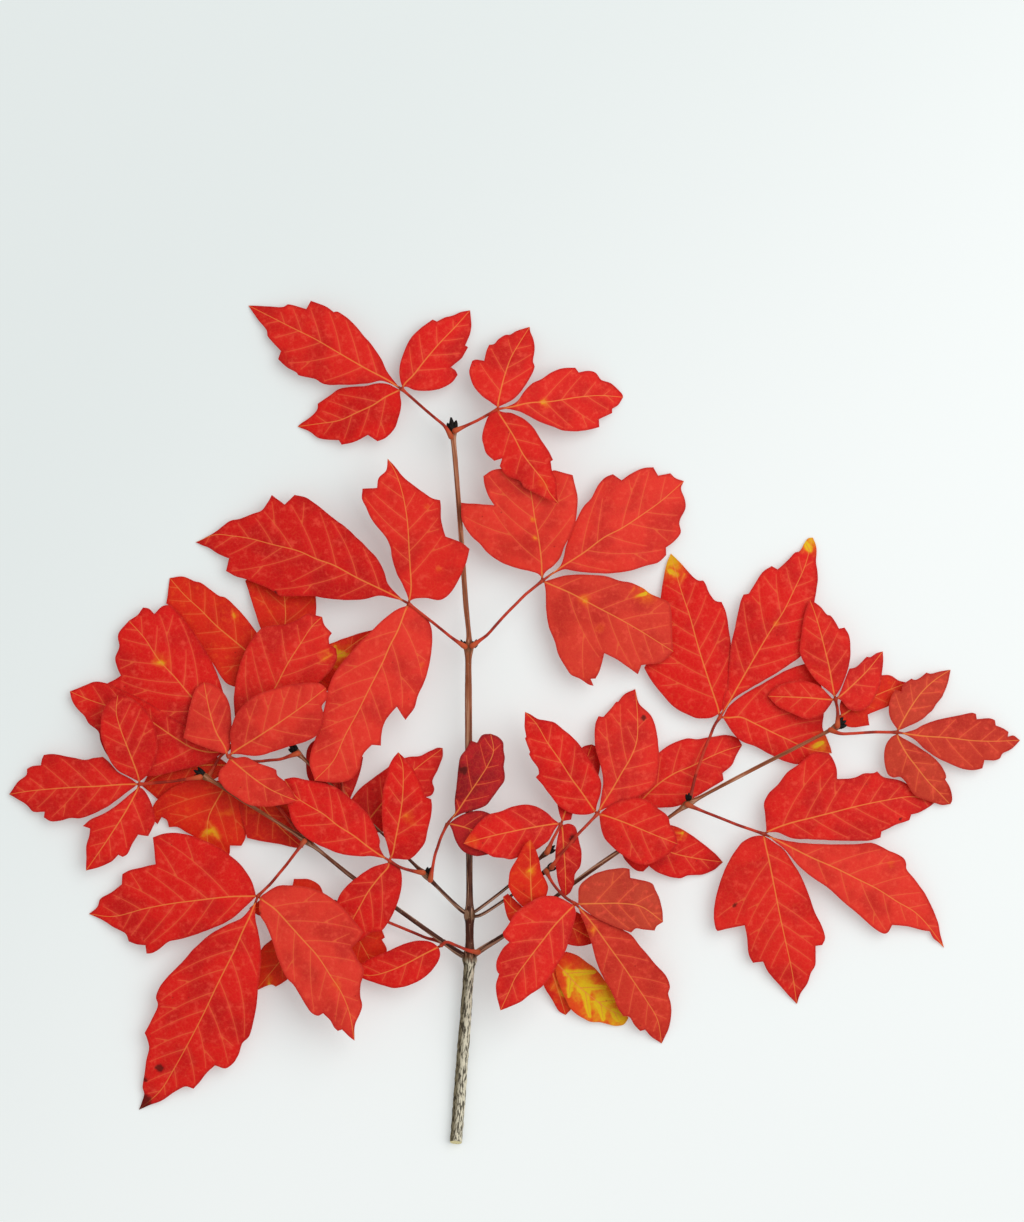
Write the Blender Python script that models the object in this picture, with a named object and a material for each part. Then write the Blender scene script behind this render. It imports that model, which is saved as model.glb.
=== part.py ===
"""A cut maple twig with its autumn leaves, lying down. Blender units are metres and +Z is up.

The twig is one piece. Each compound leaf is one piece too: a stalk with up to three leaflets.
Outlines are in millimetres, seen from above, and each margin runs from a leaflet's base to its tip.
The leaves are laid in order, each one resting on what already lies below it.
"""

import math

import bmesh
import bpy
import numpy as np
from mathutils import Vector
from mathutils.geometry import delaunay_2d_cdt

MM = 0.001

BLADE_THICKNESS = 0.6
RIB_RISE = 0.35
STALK_RADIUS = 0.62
STALKLET_RADIUS = 0.5
STALK_SIDES = 5
STALK_STEP = 6.0
FLATNESS = 0.35

CLEARANCE = 0.35
SEAT_GAP = 0.3
SEAT_REACH = 1.5
CELL = 1.5
FIELD_X = (-184.5, 184.5)
FIELD_Y = (-154.5, 154.5)
BASE_REACH = 0.5
MOST_RISE = 0.12
MOST_DROP = 0.34
BOW = 0.035
MARGIN_DROOP = 0.05
HUB_SHARE = 0.55

SOLVER = "MANIFOLD"

TWIG_SIDES = 8
TWIG_COLOUR = "#8f837d"

# The twig's lengths: x, y, height and radius of each point, in millimetres.
STEM = (
    (-20.8, -147.9, 1.94, 2.1), (-20.2, -140.4, 1.94, 2.1), (-19.6, -132.9, 1.94, 2.1),
    (-18.7, -120.4, 2.7, 2.05), (-17.7, -107.9, 3.8, 2.0), (-16.8, -95.4, 5.2, 1.9),
    (-16.1, -86.0, 6.6, 1.9), (-15.9, -82.3, 7.2, 2.5), (-15.9, -78.0, 7.6, 1.6),
    (-15.9, -70.0, 8.2, 1.55), (-15.9, -67.0, 8.4, 2.0), (-15.9, -63.0, 8.6, 1.35),
    (-16.1, -30.0, 9.2, 1.3), (-16.3, 10.0, 9.6, 1.25), (-16.3, 23.0, 9.8, 1.2),
    (-16.2, 26.5, 9.9, 1.75), (-16.1, 30.0, 9.9, 1.0), (-17.2, 41.8, 9.9, 0.95),
    (-18.6, 62.0, 9.8, 0.9), (-20.9, 92.0, 9.5, 0.9), (-21.6, 99.5, 9.4, 1.0),
    (-21.8, 102.2, 9.4, 1.45), (-22.1, 104.5, 9.4, 1.1), (-22.4, 107.2, 9.4, 0.3),
)
LEFT_LOW = (
    (-15.9, -82.3, 7.2, 1.1), (-19.6, -80.4, 7.4, 1.1), (-24.8, -76.7, 7.8, 0.9),
    (-42.0, -64.3, 8.8, 0.8), (-56.4, -54.1, 9.4, 0.8), (-70.0, -43.2, 9.7, 0.8),
    (-73.0, -41.0, 9.7, 1.35), (-76.5, -38.7, 9.7, 0.75), (-95.8, -26.6, 9.2, 0.7),
    (-106.0, -20.0, 8.9, 0.8), (-108.9, -18.4, 8.8, 1.3), (-112.2, -16.4, 8.8, 0.3),
)
LEFT_HIGH = (
    (-15.9, -67.0, 8.4, 0.8), (-18.5, -65.5, 8.6, 0.8), (-28.5, -55.8, 9.6, 0.75),
    (-31.2, -53.0, 9.8, 1.3), (-34.0, -50.4, 9.8, 0.7), (-55.5, -29.8, 10.0, 0.65),
    (-58.0, -27.5, 10.0, 1.0), (-60.5, -25.0, 10.0, 0.6), (-74.0, -12.2, 9.8, 0.7),
    (-76.5, -9.8, 9.8, 1.2), (-79.0, -7.4, 9.8, 0.3),
)
RIGHT_LOW = (
    (-15.9, -82.3, 7.2, 1.1), (-12.7, -79.8, 7.6, 1.1), (-4.0, -74.2, 8.6, 0.9),
    (2.3, -69.5, 9.2, 0.85), (5.0, -67.5, 9.4, 1.3), (7.8, -65.4, 9.6, 0.85),
    (29.6, -49.2, 10.4, 0.85), (41.0, -41.6, 10.6, 0.85), (43.8, -39.8, 10.6, 1.2),
    (46.6, -37.9, 10.6, 0.8), (57.6, -30.1, 10.8, 0.8), (60.6, -28.0, 10.8, 1.4),
    (63.8, -26.3, 10.8, 0.75), (78.8, -18.3, 10.8, 0.7), (95.0, -10.0, 10.4, 0.7),
    (110.0, -2.4, 10.0, 0.75), (112.7, -0.9, 10.0, 1.3), (115.6, 0.9, 10.0, 0.3),
)
RIGHT_HIGH = (
    (-15.9, -67.0, 8.4, 0.6), (-13.4, -65.4, 8.6, 0.6), (-2.8, -57.3, 9.4, 0.55),
    (8.6, -47.2, 10.0, 0.6), (11.2, -45.0, 10.0, 1.1), (13.6, -42.9, 10.0, 0.3),
)
RIGHT_INNER = (
    (-15.9, -67.0, 8.4, 0.6), (-13.2, -67.4, 8.6, 0.6), (-4.0, -62.0, 9.2, 0.55),
    (8.6, -53.2, 9.8, 0.6), (11.8, -50.9, 9.8, 1.1), (13.8, -49.5, 9.8, 0.3),
)
TWIG = (STEM, LEFT_LOW, LEFT_HIGH, RIGHT_LOW, RIGHT_HIGH, RIGHT_INNER)

# Dark winter buds in the forks: x, y, height, then the point's x, y and height.
BUDS = (
    (-17.2, 27.0, 10.2, -19.4, 29.6, 11.2), (-15.0, 27.0, 10.2, -13.0, 29.6, 11.2),
    (-72.2, -40.8, 10.2, -71.0, -38.6, 11.2), (-30.8, -52.4, 9.9, -29.6, -50.6, 10.6),
    (60.6, -26.8, 11.4, 60.8, -24.2, 12.3),
)
BUD_RADIUS = 0.85

LEAVES = {
    "leaf_west_inner": dict(
        colour="#b4301c", under=True,
        hub="-84,17", stalk="-77.8,-8.6 -81.5,4",
        blades=(
            ("-90,22 -98.5,29 -105,34.5 -110.5,40 -116,45 -121.3,51",
             "-89,14 -95,12.5 -101,14 -106,21 -111,28 -115,34 -119.5,40 -122.5,42 -122,45",
             "-86,22 -88,28 -91,32.5 -94,36.5 -98,41 -102,44.3 -103.5,44.6 -107,47 -110.3,49.4 "
             "-112.5,49.9 -116.5,51.5"),
            ("-82.5,24 -80.5,36.5 -81,45 -82.5,57",
             "-85.5,24 -88.5,31 -91.5,40 -94.7,50 -90,54",
             "-79.5,23 -74,28 -70.5,34 -69.8,43 -71,48 -77,53"),
            ("-78,18 -70,20 -62,24 -55,29 -49,33",
             "-79,21 -73,25 -66,27.5 -60,29.8 -55,31.5",
             "-79,15 -72,11 -64,12 -57,17 -51,25"),
        )),
    "leaf_west_lower": dict(
        colour="#c4521c", under=True,
        hub="-99,-15", stalk="-74.6,-39.9 -84,-28 -92,-19",
        blades=(
            ("-103,-14.6 -110,-14.8 -117,-16 -124,-18 -131,-22",
             "-103,-18 -110,-22 -118,-25.5 -125,-27",
             "-104,-12 -112,-9.5 -120,-11 -127,-15.5"),
            ("-100.5,-20 -104,-26 -107.5,-33 -108,-40 -107,-47",
             "-97.5,-23 -94.8,-29 -94,-35 -94.6,-40.3 -96,-43 -100,-43 -100.3,-46 -103,-48",
             "-104,-20 -110,-19.5 -117,-21 -123,-24.5 -127,-29 -127.5,-33.5 -125.5,-35.5 -124,-33 "
             "-122.3,-34 -121.5,-36.5 -118.5,-36.5 -115,-38.5 -112.5,-40 -110,-44"),
            ("-96,-19 -91,-25.5 -85.5,-33 -80,-39 -74.5,-43.8",
             "-93,-19 -87,-22.5 -81,-27 -76.5,-32 -74,-38",
             "-97.3,-24 -96.5,-31 -94.8,-37 -94,-40.3 -88,-41.6 -82,-42.6 -77,-43.8"),
        )),
    "leaf_west_upper": dict(
        colour="#a3221c", under=True,
        hub="-97,-6", stalk="-107.6,-19 -103.6,-12",
        blades=(
            ("-91,2 -84,12.5 -79.5,21 -75,28 -71,34 -67.5,37.3",
             "-97.5,0 -98.5,8 -97.5,16 -95.5,23 -92,29.5 -88.5,33.5 -84,34.5 -80,34.8 -76,36.5 "
             "-72.5,38.5 -70,38",
             "-92,-3.5 -86,-1 -78,4 -72,10 -67.5,15.5 -64.5,18.5 -62.3,22.5 -62.5,26.3 -65,27.5 -65,30 "
             "-64,31.7 -66.8,34.8"),
            ("-102,-2 -108,4 -113.5,9.5 -119,16 -125,22.5 -130,30 -135.5,36",
             "-103,-7 -110,-5.5 -118,-4 -124,0 -128.5,5 -132.5,8.3 -136,8.8 -141,11.5 -143,14 "
             "-140.5,15.3 -138.2,16.8 -139.5,19.5 -140.2,23 -138.8,27 -139.3,31",
             "-100,0 -101.5,8 -103.5,15 -106,21 -109.5,27 -113,32.5 -117,37.5 -120.8,41.5 -123.5,41.2 "
             "-126.5,38.4 -128.5,40.3 -130.5,40.7 -132.5,38"),
            ("-104,-10 -112,-9 -118.7,-5.3 -125,-1 -131,3 -144,6.5 -150,8.5 -156.2,11.2",
             "-107,-13.5 -118,-16.5 -128,-18.5 -137,-17 -142.5,-12 -145.5,-6 -146,-3 -149.5,0 -151,2.5 "
             "-153.5,5 -155.7,8.5",
             "-106,-7 -112,-3 -120,2 -128,7 -136,11 -143,14 -147.5,14.6 -151,13.3"),
        )),
    "leaf_left_middle": dict(
        colour="#7c1417", under=True,
        hub="-56,-37", stalk="-53.6,-31.8 -54.6,-34.6",
        blades=(
            ("-53,-35.5 -47,-28.5 -40,-20.5 -33,-14.5 -25.4,-8.8",
             "-56.5,-33 -57.8,-27 -54,-22.5 -50,-19.4 -45,-15.8 -41,-13.2 -37.5,-11.8 -33.5,-11.5 "
             "-30,-9.8 -27.2,-8.6",
             "-52,-38 -46,-38 -40,-34.5 -35,-30 -32.5,-26.5 -29.3,-25.2 -28.3,-23 -29,-20.5 -27,-16 "
             "-25.5,-12"),
        )),
    "leaf_left_inner": dict(
        colour="#8c1a18", under=True,
        hub="-63.5,-3", stalk="-59.8,-25.7 -61.8,-14",
        blades=(
            ("-63.8,-7 -63.5,-14 -61,-21 -57.8,-26.5",
             "-61.5,-5 -56.5,-8 -53.2,-12 -54.5,-18 -56.3,-23",
             "-67,-4.5 -71,-6.5 -73,-9.5 -73.2,-14 -72.4,-19.5 -68,-23.5 -62,-26.5"),
        )),
    "leaf_left_under": dict(
        colour="#c85a20", under=True,
        hub="-63.5,-62.5", stalk="-25,-76.6 -31,-75.2 -45,-69.5 -56,-65",
        blades=(
            ("-67,-66 -74,-74 -82,-83 -91,-94",
             "-65,-68 -70,-78 -76,-86 -80,-90 -84,-92.5 -85.5,-91.8",
             "-70.5,-65.5 -78,-69 -85,-75.5 -88.8,-79 -91,-86"),
            ("-68,-62.5 -76,-63 -84,-64 -93.4,-65",
             "-69,-66 -77,-69 -85,-70.5 -88.5,-68.2 -91,-67",
             "-67,-60 -68.5,-57 -72,-54.8 -77.6,-54.6 -78,-56.8 -84,-59 -89.5,-62"),
            ("-61.5,-66 -56.5,-73 -52,-81 -49,-87",
             "-59.5,-65 -55,-68.5 -50.5,-70.8 -47.2,-71.2 -45.6,-75.2 -46.7,-76 -45,-79.6 -46.5,-84",
             "-63,-69 -62,-76 -57.5,-84"),
        )),
    "leaf_low_yellow": dict(
        colour="#d07a24", under=True,
        hub="13,-82.5", stalk="5,-67.6 8.6,-75",
        blades=(
            ("16,-85.5 22,-92 27.5,-96.5 33,-100.5 39.8,-103.5",
             "15.5,-81.5 18,-80 21.5,-81.2 25.5,-84 28.5,-86.3 31,-89.5 34.5,-95 38,-100.5",
             "14.6,-89 17,-95 19.8,-100.5 23,-103 26.5,-104.8 30,-105 35,-106.3 38.2,-105.8"),
            ("13,-86.5 14.6,-92 16.3,-97.5 17.8,-102.5",
             "15,-87.5 17.5,-93 19.7,-100.5",
             "11,-85.5 9.3,-89 10.5,-93 13,-97 15.5,-101.2"),
        )),
    "leaf_right_under": dict(
        colour="#a8281c", under=True,
        hub="40,-33", stalk="43.5,-39.5 41.5,-36.5",
        blades=(
            ("42.5,-36.5 47,-41 54,-45 63,-47.3 73,-48.8",
             "44.5,-35 50,-34.8 56,-36 61,-38.6 65,-41.5 70,-45.5",
             "39,-38 37.5,-45.5 40,-49.5 43,-51.8 45,-52 47,-50 49.5,-52 53,-53.5 58,-54.4 60.5,-53.5 "
             "66,-53.1 70,-51.4"),
            ("43.5,-28 50,-21.5 56,-17.5 62,-15 68,-12 74,-9.5 79.8,-7.8",
             "41,-26 43.5,-19 48,-13 51,-9.8 55,-7.2 60.2,-5.3 64,-5.5 67.5,-5 74.5,-4.2 78.2,-5.2",
             "46,-29 51,-29.6 57,-29 63,-26 69,-22.5 73.2,-20 72.8,-17.6 76.4,-14.4 77.5,-11.7"),
        )),
    "leaf_far_single": dict(
        colour="#c2521e", under=True,
        hub="113.6,2.2", stalk="112.8,-0.9 113.2,0.6",
        blades=(
            ("116,3.6 121,7 129,10.8 138,14.2",
             "114,7 117,12 122,15.5 129,16.9 132,16.7 135,14.9",
             "114.5,-0.6 118,-1.4 124.3,-0.7 123.7,3 128,4.8 132,6.5 136,10.5"),
        )),
    "leaf_right_tall": dict(
        colour="#b0241c", under=True,
        hub="71.9,2.2", stalk="60.9,-27.8 63.3,-18 66.5,-9 70,-0.6",
        blades=(
            ("71,6 69.3,11 67,18 64.2,27 61.2,38 58.5,46 56.2,54 54.8,59.6",
             "69,2 63.8,1.8 60,3.3 56,5.6 50.3,11.7 47.5,15.5 45.3,19.4 48,25 50,31 50.7,38 51.2,45 "
             "52.2,51 53.2,55.8",
             "73.2,6 75,12 76,20 75.8,27 75,33 74,39 72.5,42.6 70.3,42.9 68.3,45.5 66.8,49 66,50.1 "
             "64.3,50.1 61.5,52.5 58,56.5"),
            ("74.5,6.5 79,14.5 84.5,24 89,31.5 94,39 98,47 101.7,55 104.6,65.2",
             "72.8,8 74.5,14 75,20 75.8,28 77,33 78,38 79,42.5 80.2,45.2 82,45.5 84.5,49.5 87,53.2 "
             "90,55.2 92.2,54 95.5,57 98.5,60 99.7,60.3 101.5,63 103,65",
             "76.5,8.5 82,12 89,16 96,20.5 100.5,24 103,30 104.5,37 105.3,44 106.3,51 105.7,57 105.8,62"),
            ("75,2 79,2.2 84,0 90,-3 96,-5.8 103,-9 111.3,-10.5",
             "75,6 80,10 87,14 95.5,18.8 102,21 106,17 108,11 108.5,4 108,-1.5 109.5,-5 110.7,-8",
             "74,0.3 76.5,-3.5 79.5,-6.3 84,-8 90,-11.2 95,-13.5 99.5,-14.3 103,-12.5 107.5,-10.5"),
        )),
    "leaf_low_single": dict(
        colour="#a01e1a", under=False,
        hub="-26,-77.8", stalk="-12.9,-80 -16,-79.4 -20.5,-77.6 -24,-76.4",
        blades=(
            ("-28.5,-79 -33,-81.3 -38,-84 -44,-86.6 -50,-88.2 -57,-87.5",
             "-26.2,-81 -28,-85 -32,-89 -37,-91.6 -42,-92.6 -47,-91.5 -52,-89.8",
             "-29,-76.5 -33.5,-75.9 -38.5,-77 -44,-79.4 -50,-82 -55,-84.8"),
        )),
    "leaf_left_cross": dict(
        colour="#a8201c", under=False,
        hub="-44,-47.9", stalk="-32.2,-52.1 -36,-51.4 -40,-50.2",
        blades=(
            ("-44.3,-50 -47.5,-53.7 -51.5,-59 -54,-63.5 -57,-69 -60.5,-77",
             "-41.8,-49 -40,-51 -39.5,-55 -40.3,-60 -42,-65 -44.3,-69.5 -46.8,-72.5 -50,-73 -55,-76.5",
             "-46,-49 -50,-50.2 -54,-52.8 -57.5,-55.5 -61.3,-59.8 -63,-65 -63,-71"),
            ("-42.8,-45.5 -41.7,-40 -40.3,-33 -39.4,-27 -39,-20 -39.3,-14 -40.8,-9.8",
             "-44.5,-43 -46,-38 -46.5,-30 -46,-23 -44.6,-18 -44,-15 -42.5,-12",
             "-41,-47.3 -37,-47.4 -34,-45 -31.5,-41.5 -30.5,-37 -29.5,-33 -29,-29 -29.3,-26.3 "
             "-31.3,-25.5 -32.5,-22 -34.5,-17.5 -36.5,-14 -38.5,-12"),
            ("-48,-45.4 -52,-42.5 -56.5,-39 -62,-35.5 -67,-31.5 -72.5,-28.3 -76.5,-25.5 -80.6,-19.4",
             "-50,-46.3 -54,-46.4 -58,-46 -62,-45.2 -65.5,-43.7 -69.5,-42 -74,-39 -77.5,-35 -79,-30.5 "
             "-80.3,-25",
             "-47.3,-43 -47.2,-41 -49,-36 -52,-31 -57.5,-26 -63,-22 -69,-20.3 -73.5,-19.5 -77,-18.7"),
        )),
    "leaf_low_left": dict(
        colour="#a4201b", under=False,
        hub="-90,-60.4", stalk="-73.6,-41 -80,-49.4 -85.5,-56",
        blades=(
            ("-92,-60.4 -100,-60.6 -112,-62 -121,-63.2 -130,-65 -141,-67.8 -149.6,-67",
             "-94,-63.8 -97.5,-67 -101,-69.5 -106,-71.7 -110.5,-73.5 -116,-75.3 -121.5,-76.6 -125,-79.4 "
             "-127.5,-80.6 -129.3,-80.7 -129.6,-77.8 -132.5,-77.5 -135.5,-76.5 -136.5,-74 -141,-71.5 "
             "-145,-69",
             "-91.2,-58 -92.5,-54.5 -95.5,-50 -99.5,-46.3 -104,-43.2 -110,-40.5 -115,-38.8 -120,-38.3 "
             "-124,-38.8 -127,-40 -126.3,-45 -126,-49.3 -131,-50.5 -135,-51.5 -137.7,-53 -138,-56.5 "
             "-142,-59.5 -145.7,-61.8 -146.5,-64.3"),
            ("-92.6,-67 -95,-72 -98,-79 -100.5,-84 -104.5,-92 -109,-101.5 -115,-113 -119.5,-121 "
             "-124.5,-129 -132.2,-135.8",
             "-90.8,-68.5 -89.8,-73 -88.9,-79 -89,-85 -89.8,-92 -90.5,-99 -91.8,-105 -93.2,-109.7 "
             "-95.5,-112 -96.8,-116 -99.5,-119.8 -101.5,-121 -105.2,-119.9 -108,-122.5 -110.8,-126 "
             "-112.8,-128.2 -115.5,-127.5 -120,-129.7 -124,-132.5 -128,-134",
             "-95.5,-67.8 -101,-70.5 -107,-74 -112,-78.5 -117,-84 -121.5,-88.5 -124.5,-92.5 -125.8,-96 "
             "-125.2,-98.5 -127,-103 -129.8,-108.5 -129,-110.5 -128.3,-113.5 -129.3,-118 -130,-123 "
             "-130.7,-127.8 -130.2,-130 -131.2,-133.5"),
            ("-88,-62 -84,-64.8 -80,-69 -74.5,-75 -69,-81 -64,-88.5 -61,-93 -58,-100 -56,-110.5",
             "-87.5,-59.4 -83,-56.8 -78,-56.6 -71,-57.6 -65,-60.3 -60,-64.5 -56,-69 -52.8,-72.8 "
             "-54.5,-75.5 -57,-78.3 -55,-82 -52.8,-86 -53.8,-91 -54,-95 -53.3,-98 -54,-101 -55.8,-105 "
             "-56,-108",
             "-89.5,-64 -89.2,-67 -87.3,-70 -86,-73 -84.5,-77 -82.5,-83 -79.5,-89 -77.5,-91 -75,-95 "
             "-72.5,-99 -70.5,-101.3 -68.7,-101.9 -67,-101 -64.5,-103.5 -63,-106 -61.8,-107.2 "
             "-60.3,-106.7 -58,-109"),
        )),
    "leaf_middle_small": dict(
        colour="#8a181a", under=False,
        hub="-23.6,-34.9", stalk="-29.6,-54.6 -28,-46 -26,-40",
        blades=(
            ("-21.8,-35.2 -17,-36.4 -11,-38.8 -4,-42",
             "-21,-33.3 -17,-31.2 -12,-30.4 -8,-32 -5,-36",
             "-22.1,-37 -20.8,-41 -18,-44.7 -14,-46.2 -10,-45.8 -6.5,-44.6"),
            ("-20,-30.5 -17.7,-27 -15,-23 -12.3,-19 -9.5,-14.5 -7.5,-9.5 -8.5,-3.5",
             "-21,-31.3 -21.1,-27 -20.3,-20 -19.8,-15 -19,-11.5 -17.2,-9 -15.4,-5.9 -13.3,-6.6 -11.5,-4",
             "-18,-31.2 -13.5,-30 -10.3,-28.7 -8,-26 -5.8,-23 -3.7,-20 -3.5,-18 -3.9,-15 -3.5,-12 "
             "-3.9,-9.5 -4.2,-6.3 -6,-4.5"),
        )),
    "leaf_centre_small": dict(
        colour="#9c1f1a", under=False,
        hub="16.2,-34.9", stalk="11.2,-45 13.2,-40.5",
        blades=(
            ("14,-35 5,-36.4 -3,-38 -10,-39.6 -18,-41.8",
             "14,-37 12,-40.5 9.5,-42.6 6,-44.8 2,-46.3 -1.5,-47.4 -4,-46.9 -7.5,-46.5 -9.3,-45.6 "
             "-12,-44.2 -15.5,-43",
             "13.8,-33.6 11,-31 7.5,-29 4,-28.2 0,-28.7 -5,-30.5 -9.5,-31.8 -12.5,-34.3 -15.5,-38"),
            ("16.6,-37 17,-43 17.5,-50 17.8,-60.2",
             "19,-35 21.2,-36.2 22.2,-40 23.2,-45 22.8,-50 21,-52.5 20.6,-56 19.3,-59",
             "15.6,-37 14.6,-41 14,-47 14.4,-51.5 15.2,-56 16.8,-59.5"),
            ("17,-32.5 19,-27 22,-20 25,-13 27,-7.4",
             "15.5,-31.5 14.8,-26 17,-18 21,-11.5 24,-8.2",
             "19.6,-33.6 20.4,-31 25,-26 29,-19 30,-13 29,-8.4"),
        )),
    "leaf_low_orange": dict(
        colour="#bc3a1c", under=False,
        hub="6.4,-67", stalk="4.6,-67.3 5.5,-67.1",
        blades=(
            ("6,-64 5.6,-58 5.4,-51 5.2,-40.4",
             "3.5,-64.5 0,-61 -2.2,-57 -2.2,-54 -1.4,-50.5 1,-46.5 3,-42.6",
             "8.5,-64.5 10.8,-60.5 11.6,-57 10.6,-54.2 9.2,-51.5 8.4,-47.4 7,-43.2"),
            ("3,-66.6 0.5,-65.5 -1.5,-63.8 -4.2,-60.6",
             "2.5,-69.5 -0.6,-70.2 -2.2,-68.6 -3.4,-65",
             "2.5,-63.8 -0.2,-61.5 -2.5,-59.4"),
            ("10,-67.6 16,-69.5 21.5,-72.3 28.5,-76.5",
             "10.5,-65.4 17,-64.5 23,-66.8 27,-71.5",
             "9.5,-70 13,-74.5 18.5,-77.3 22,-78 25.5,-77.6"),
        )),
    "leaf_centre_high": dict(
        colour="#a6221c", under=False,
        hub="28.8,-31.6", stalk="12.8,-50.2 14,-48.4 16,-45.6 22,-38.6",
        blades=(
            ("27,-29.3 23,-23.5 20,-19.5 15.5,-12.5 11,-6 7.5,0 3.5,4.2",
             "25,-31.8 21,-31.6 17.5,-30.3 14.5,-27.8 11.7,-24.2 9.7,-21.5 8,-19.5 7.2,-18.5 8.3,-17.5 "
             "8,-15.5 5.5,-12 4.8,-10.5 5.2,-9.8 4.2,-7 3.5,-5 3.9,-4.5 3.3,-1",
             "28.7,-28.3 30,-24 30,-20 28,-16 25.5,-11.5 23.7,-8.8 20.5,-5 17,-2 13.5,0.6 11,1.2 8,1.8 "
             "5.5,3.3"),
            ("30.5,-28.5 34,-23 37.5,-17 40.5,-12 42.7,-6 43,2 42.3,12",
             "30,-26.5 30.8,-20 30,-15 28.3,-9 27.8,-4 28.2,0 29.3,2.5 31,2.3 33.5,5 35.5,7.6 36.2,7.6 "
             "38.5,10.2",
             "32.5,-29.2 37,-27.5 44,-25 49,-21 50.5,-15 50.3,-8 49.8,-4 49,0 47.5,3 44.5,5.8 43.5,7"),
            ("31,-32 37,-34 42,-36 48,-38.5 56.8,-42",
             "31,-30.2 36,-27.2 42,-25.8 47,-27 50,-29.5 53.5,-32.5 54.3,-35.5 56,-38",
             "29.8,-35 31,-39.5 34.5,-43.5 38.5,-46.5 42.5,-48.8 46,-49.2 49.5,-48 54,-45.3"),
        )),
    "leaf_low_centre": dict(
        colour="#ac241c", under=False,
        hub="21.2,-62.9", stalk="10.9,-51.6 13.6,-56.2 17.6,-60.6",
        blades=(
            ("19.6,-64.3 14,-70 10,-75 5,-81.5 0,-88.5 -2.2,-93.5 -5.1,-99.7",
             "21.3,-66 20.5,-69.5 19,-75 17.4,-79.5 14.5,-84.5 12,-88.5 9,-91.8 6,-93.7 2,-96.7 -2,-98.5",
             "18.8,-62.3 15.5,-60.6 10,-60 4.5,-62.5 0,-66 -2.2,-69.6 -4.3,-72.5 -3.8,-74.2 -2,-76 "
             "-4.5,-78.5 -6.5,-83 -6.3,-86 -5.6,-87 -6.7,-91 -6.3,-95"),
            ("24,-62.8 30,-62.7 37,-62.7 44,-63.8 51.8,-69.3",
             "22,-60 22.4,-57 24.5,-54.5 28,-52.3 33,-50.8 38.5,-50.3 40,-50.7 40.3,-53.8 43,-54.3 "
             "46,-55 48.2,-56 49,-58 50.5,-61 51.6,-66",
             "24,-64.6 28,-67.5 33,-70 37.5,-71.8 40.5,-73 42.2,-71.6 45.5,-72 48.8,-72.3 49.5,-70.8"),
            ("24,-66 28,-71 33,-78 38,-85 42,-91 46,-97 50,-104 51.5,-112.5",
             "25.5,-66 31,-69 37,-71.6 40.7,-74 44,-78 49,-84 53,-88.5 54.3,-92.5 53.7,-94.5 54.8,-99 "
             "54.7,-103 53.7,-108",
             "22.8,-66.5 24.5,-70.5 26.8,-77 28.7,-84 31.5,-90 33.8,-94 36,-99.5 37.8,-102.5 40,-102.9 "
             "42,-106 44,-108 45.6,-107.5 48,-110.2"),
        )),
    "leaf_right_low": dict(
        colour="#a8241d", under=False,
        hub="87.2,-38.7", stalk="60.3,-28.3 66,-30.7 78,-35.5",
        blades=(
            ("90,-37.2 96,-35 104,-33 112,-31 120,-29 130,-27 140,-25.8 147.4,-28",
             "88,-35.6 87.5,-31 87.2,-28 88.5,-25 92,-21.5 95.5,-17 99,-14.5 102,-12 104.5,-10.2 "
             "107.5,-10 110,-10.3 111.5,-12.5 112.8,-16.5 113,-19.5 119,-19 122.5,-17.5 126,-17.3 "
             "127,-16.8 129,-18.7 135,-20 139,-22 143.5,-25.3",
             "92,-38.2 97,-40.2 104,-40.6 112,-41 120,-41.2 125,-41 128.2,-40 128.5,-38 134,-35.5 "
             "138.5,-34 139,-32 142,-31.3 144.8,-29.8"),
            ("92.5,-41.2 97,-43.5 104,-47 112,-50.5 120,-54.5 127,-58 134,-62.5 140,-66 145,-71 "
             "150.8,-79",
             "95,-41 101,-41.8 110,-42.3 120,-42.2 125.3,-41.9 131,-44.5 136,-47 137.2,-49 137.3,-51 "
             "140,-54.5 144,-60 146.5,-65 148.5,-70 149.3,-74",
             "94.5,-44.3 99.5,-50 104,-53.8 109.5,-57.5 115,-62.5 121,-67.5 126,-72 129.5,-73.8 "
             "130.7,-73.5 132.3,-70.7 138,-71.3 143,-72.7 145.5,-73 147,-75.6 149,-77.2"),
            ("87.4,-40.8 89,-48 91,-58 93,-68 95,-77 97.2,-87 99,-98.6",
             "90,-41 94,-44 97.5,-49 100.5,-54 103,-60 105,-66 107.5,-71 108.8,-75.5 107.8,-77.8 "
             "105.5,-78.1 105.3,-85 104,-87.5 102.5,-91.5 100.2,-95",
             "84.5,-39.3 80,-41.3 76.5,-45.5 74,-50 72,-55 70.3,-61 69.7,-67 70.3,-72 71,-72.8 "
             "75.5,-71.8 80.5,-70.8 81.3,-75 82,-81 83.5,-84 87,-83.6 89,-87.5 92.5,-91.5 95.5,-95"),
        )),
    "leaf_mid_right": dict(
        colour="#b0271c", under=False,
        hub="9.6,50", stalk="-14.9,27.2 -9.8,31 -3.1,38.4 3.7,45.2",
        blades=(
            ("9.4,52.5 9.3,56.3 8.6,62.5 8,66.3 6.8,72.5 6.1,77.5 5,84 3.5,93",
             "8,52.4 3.7,53.6 -1.1,54.9 -5.1,56.6 -9.1,59.3 -12,62.5 -15.8,66.3 -18.6,71.3 -18.9,77.2 "
             "-13.9,76.9 -7.3,76.3 -9.2,79.4 -10.8,83.8 -11.1,86.6 -8.3,88.4 -5.1,89.1 -1,89",
             "10.5,52.8 13.1,54.9 15.8,58 17.3,62 18.9,65 21.1,70.6 21.9,76.9 21.8,80 20.8,84.4 "
             "20.2,86.9 16.8,87.8 13.6,88.6 11,87.5 7.5,90.5"),
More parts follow.
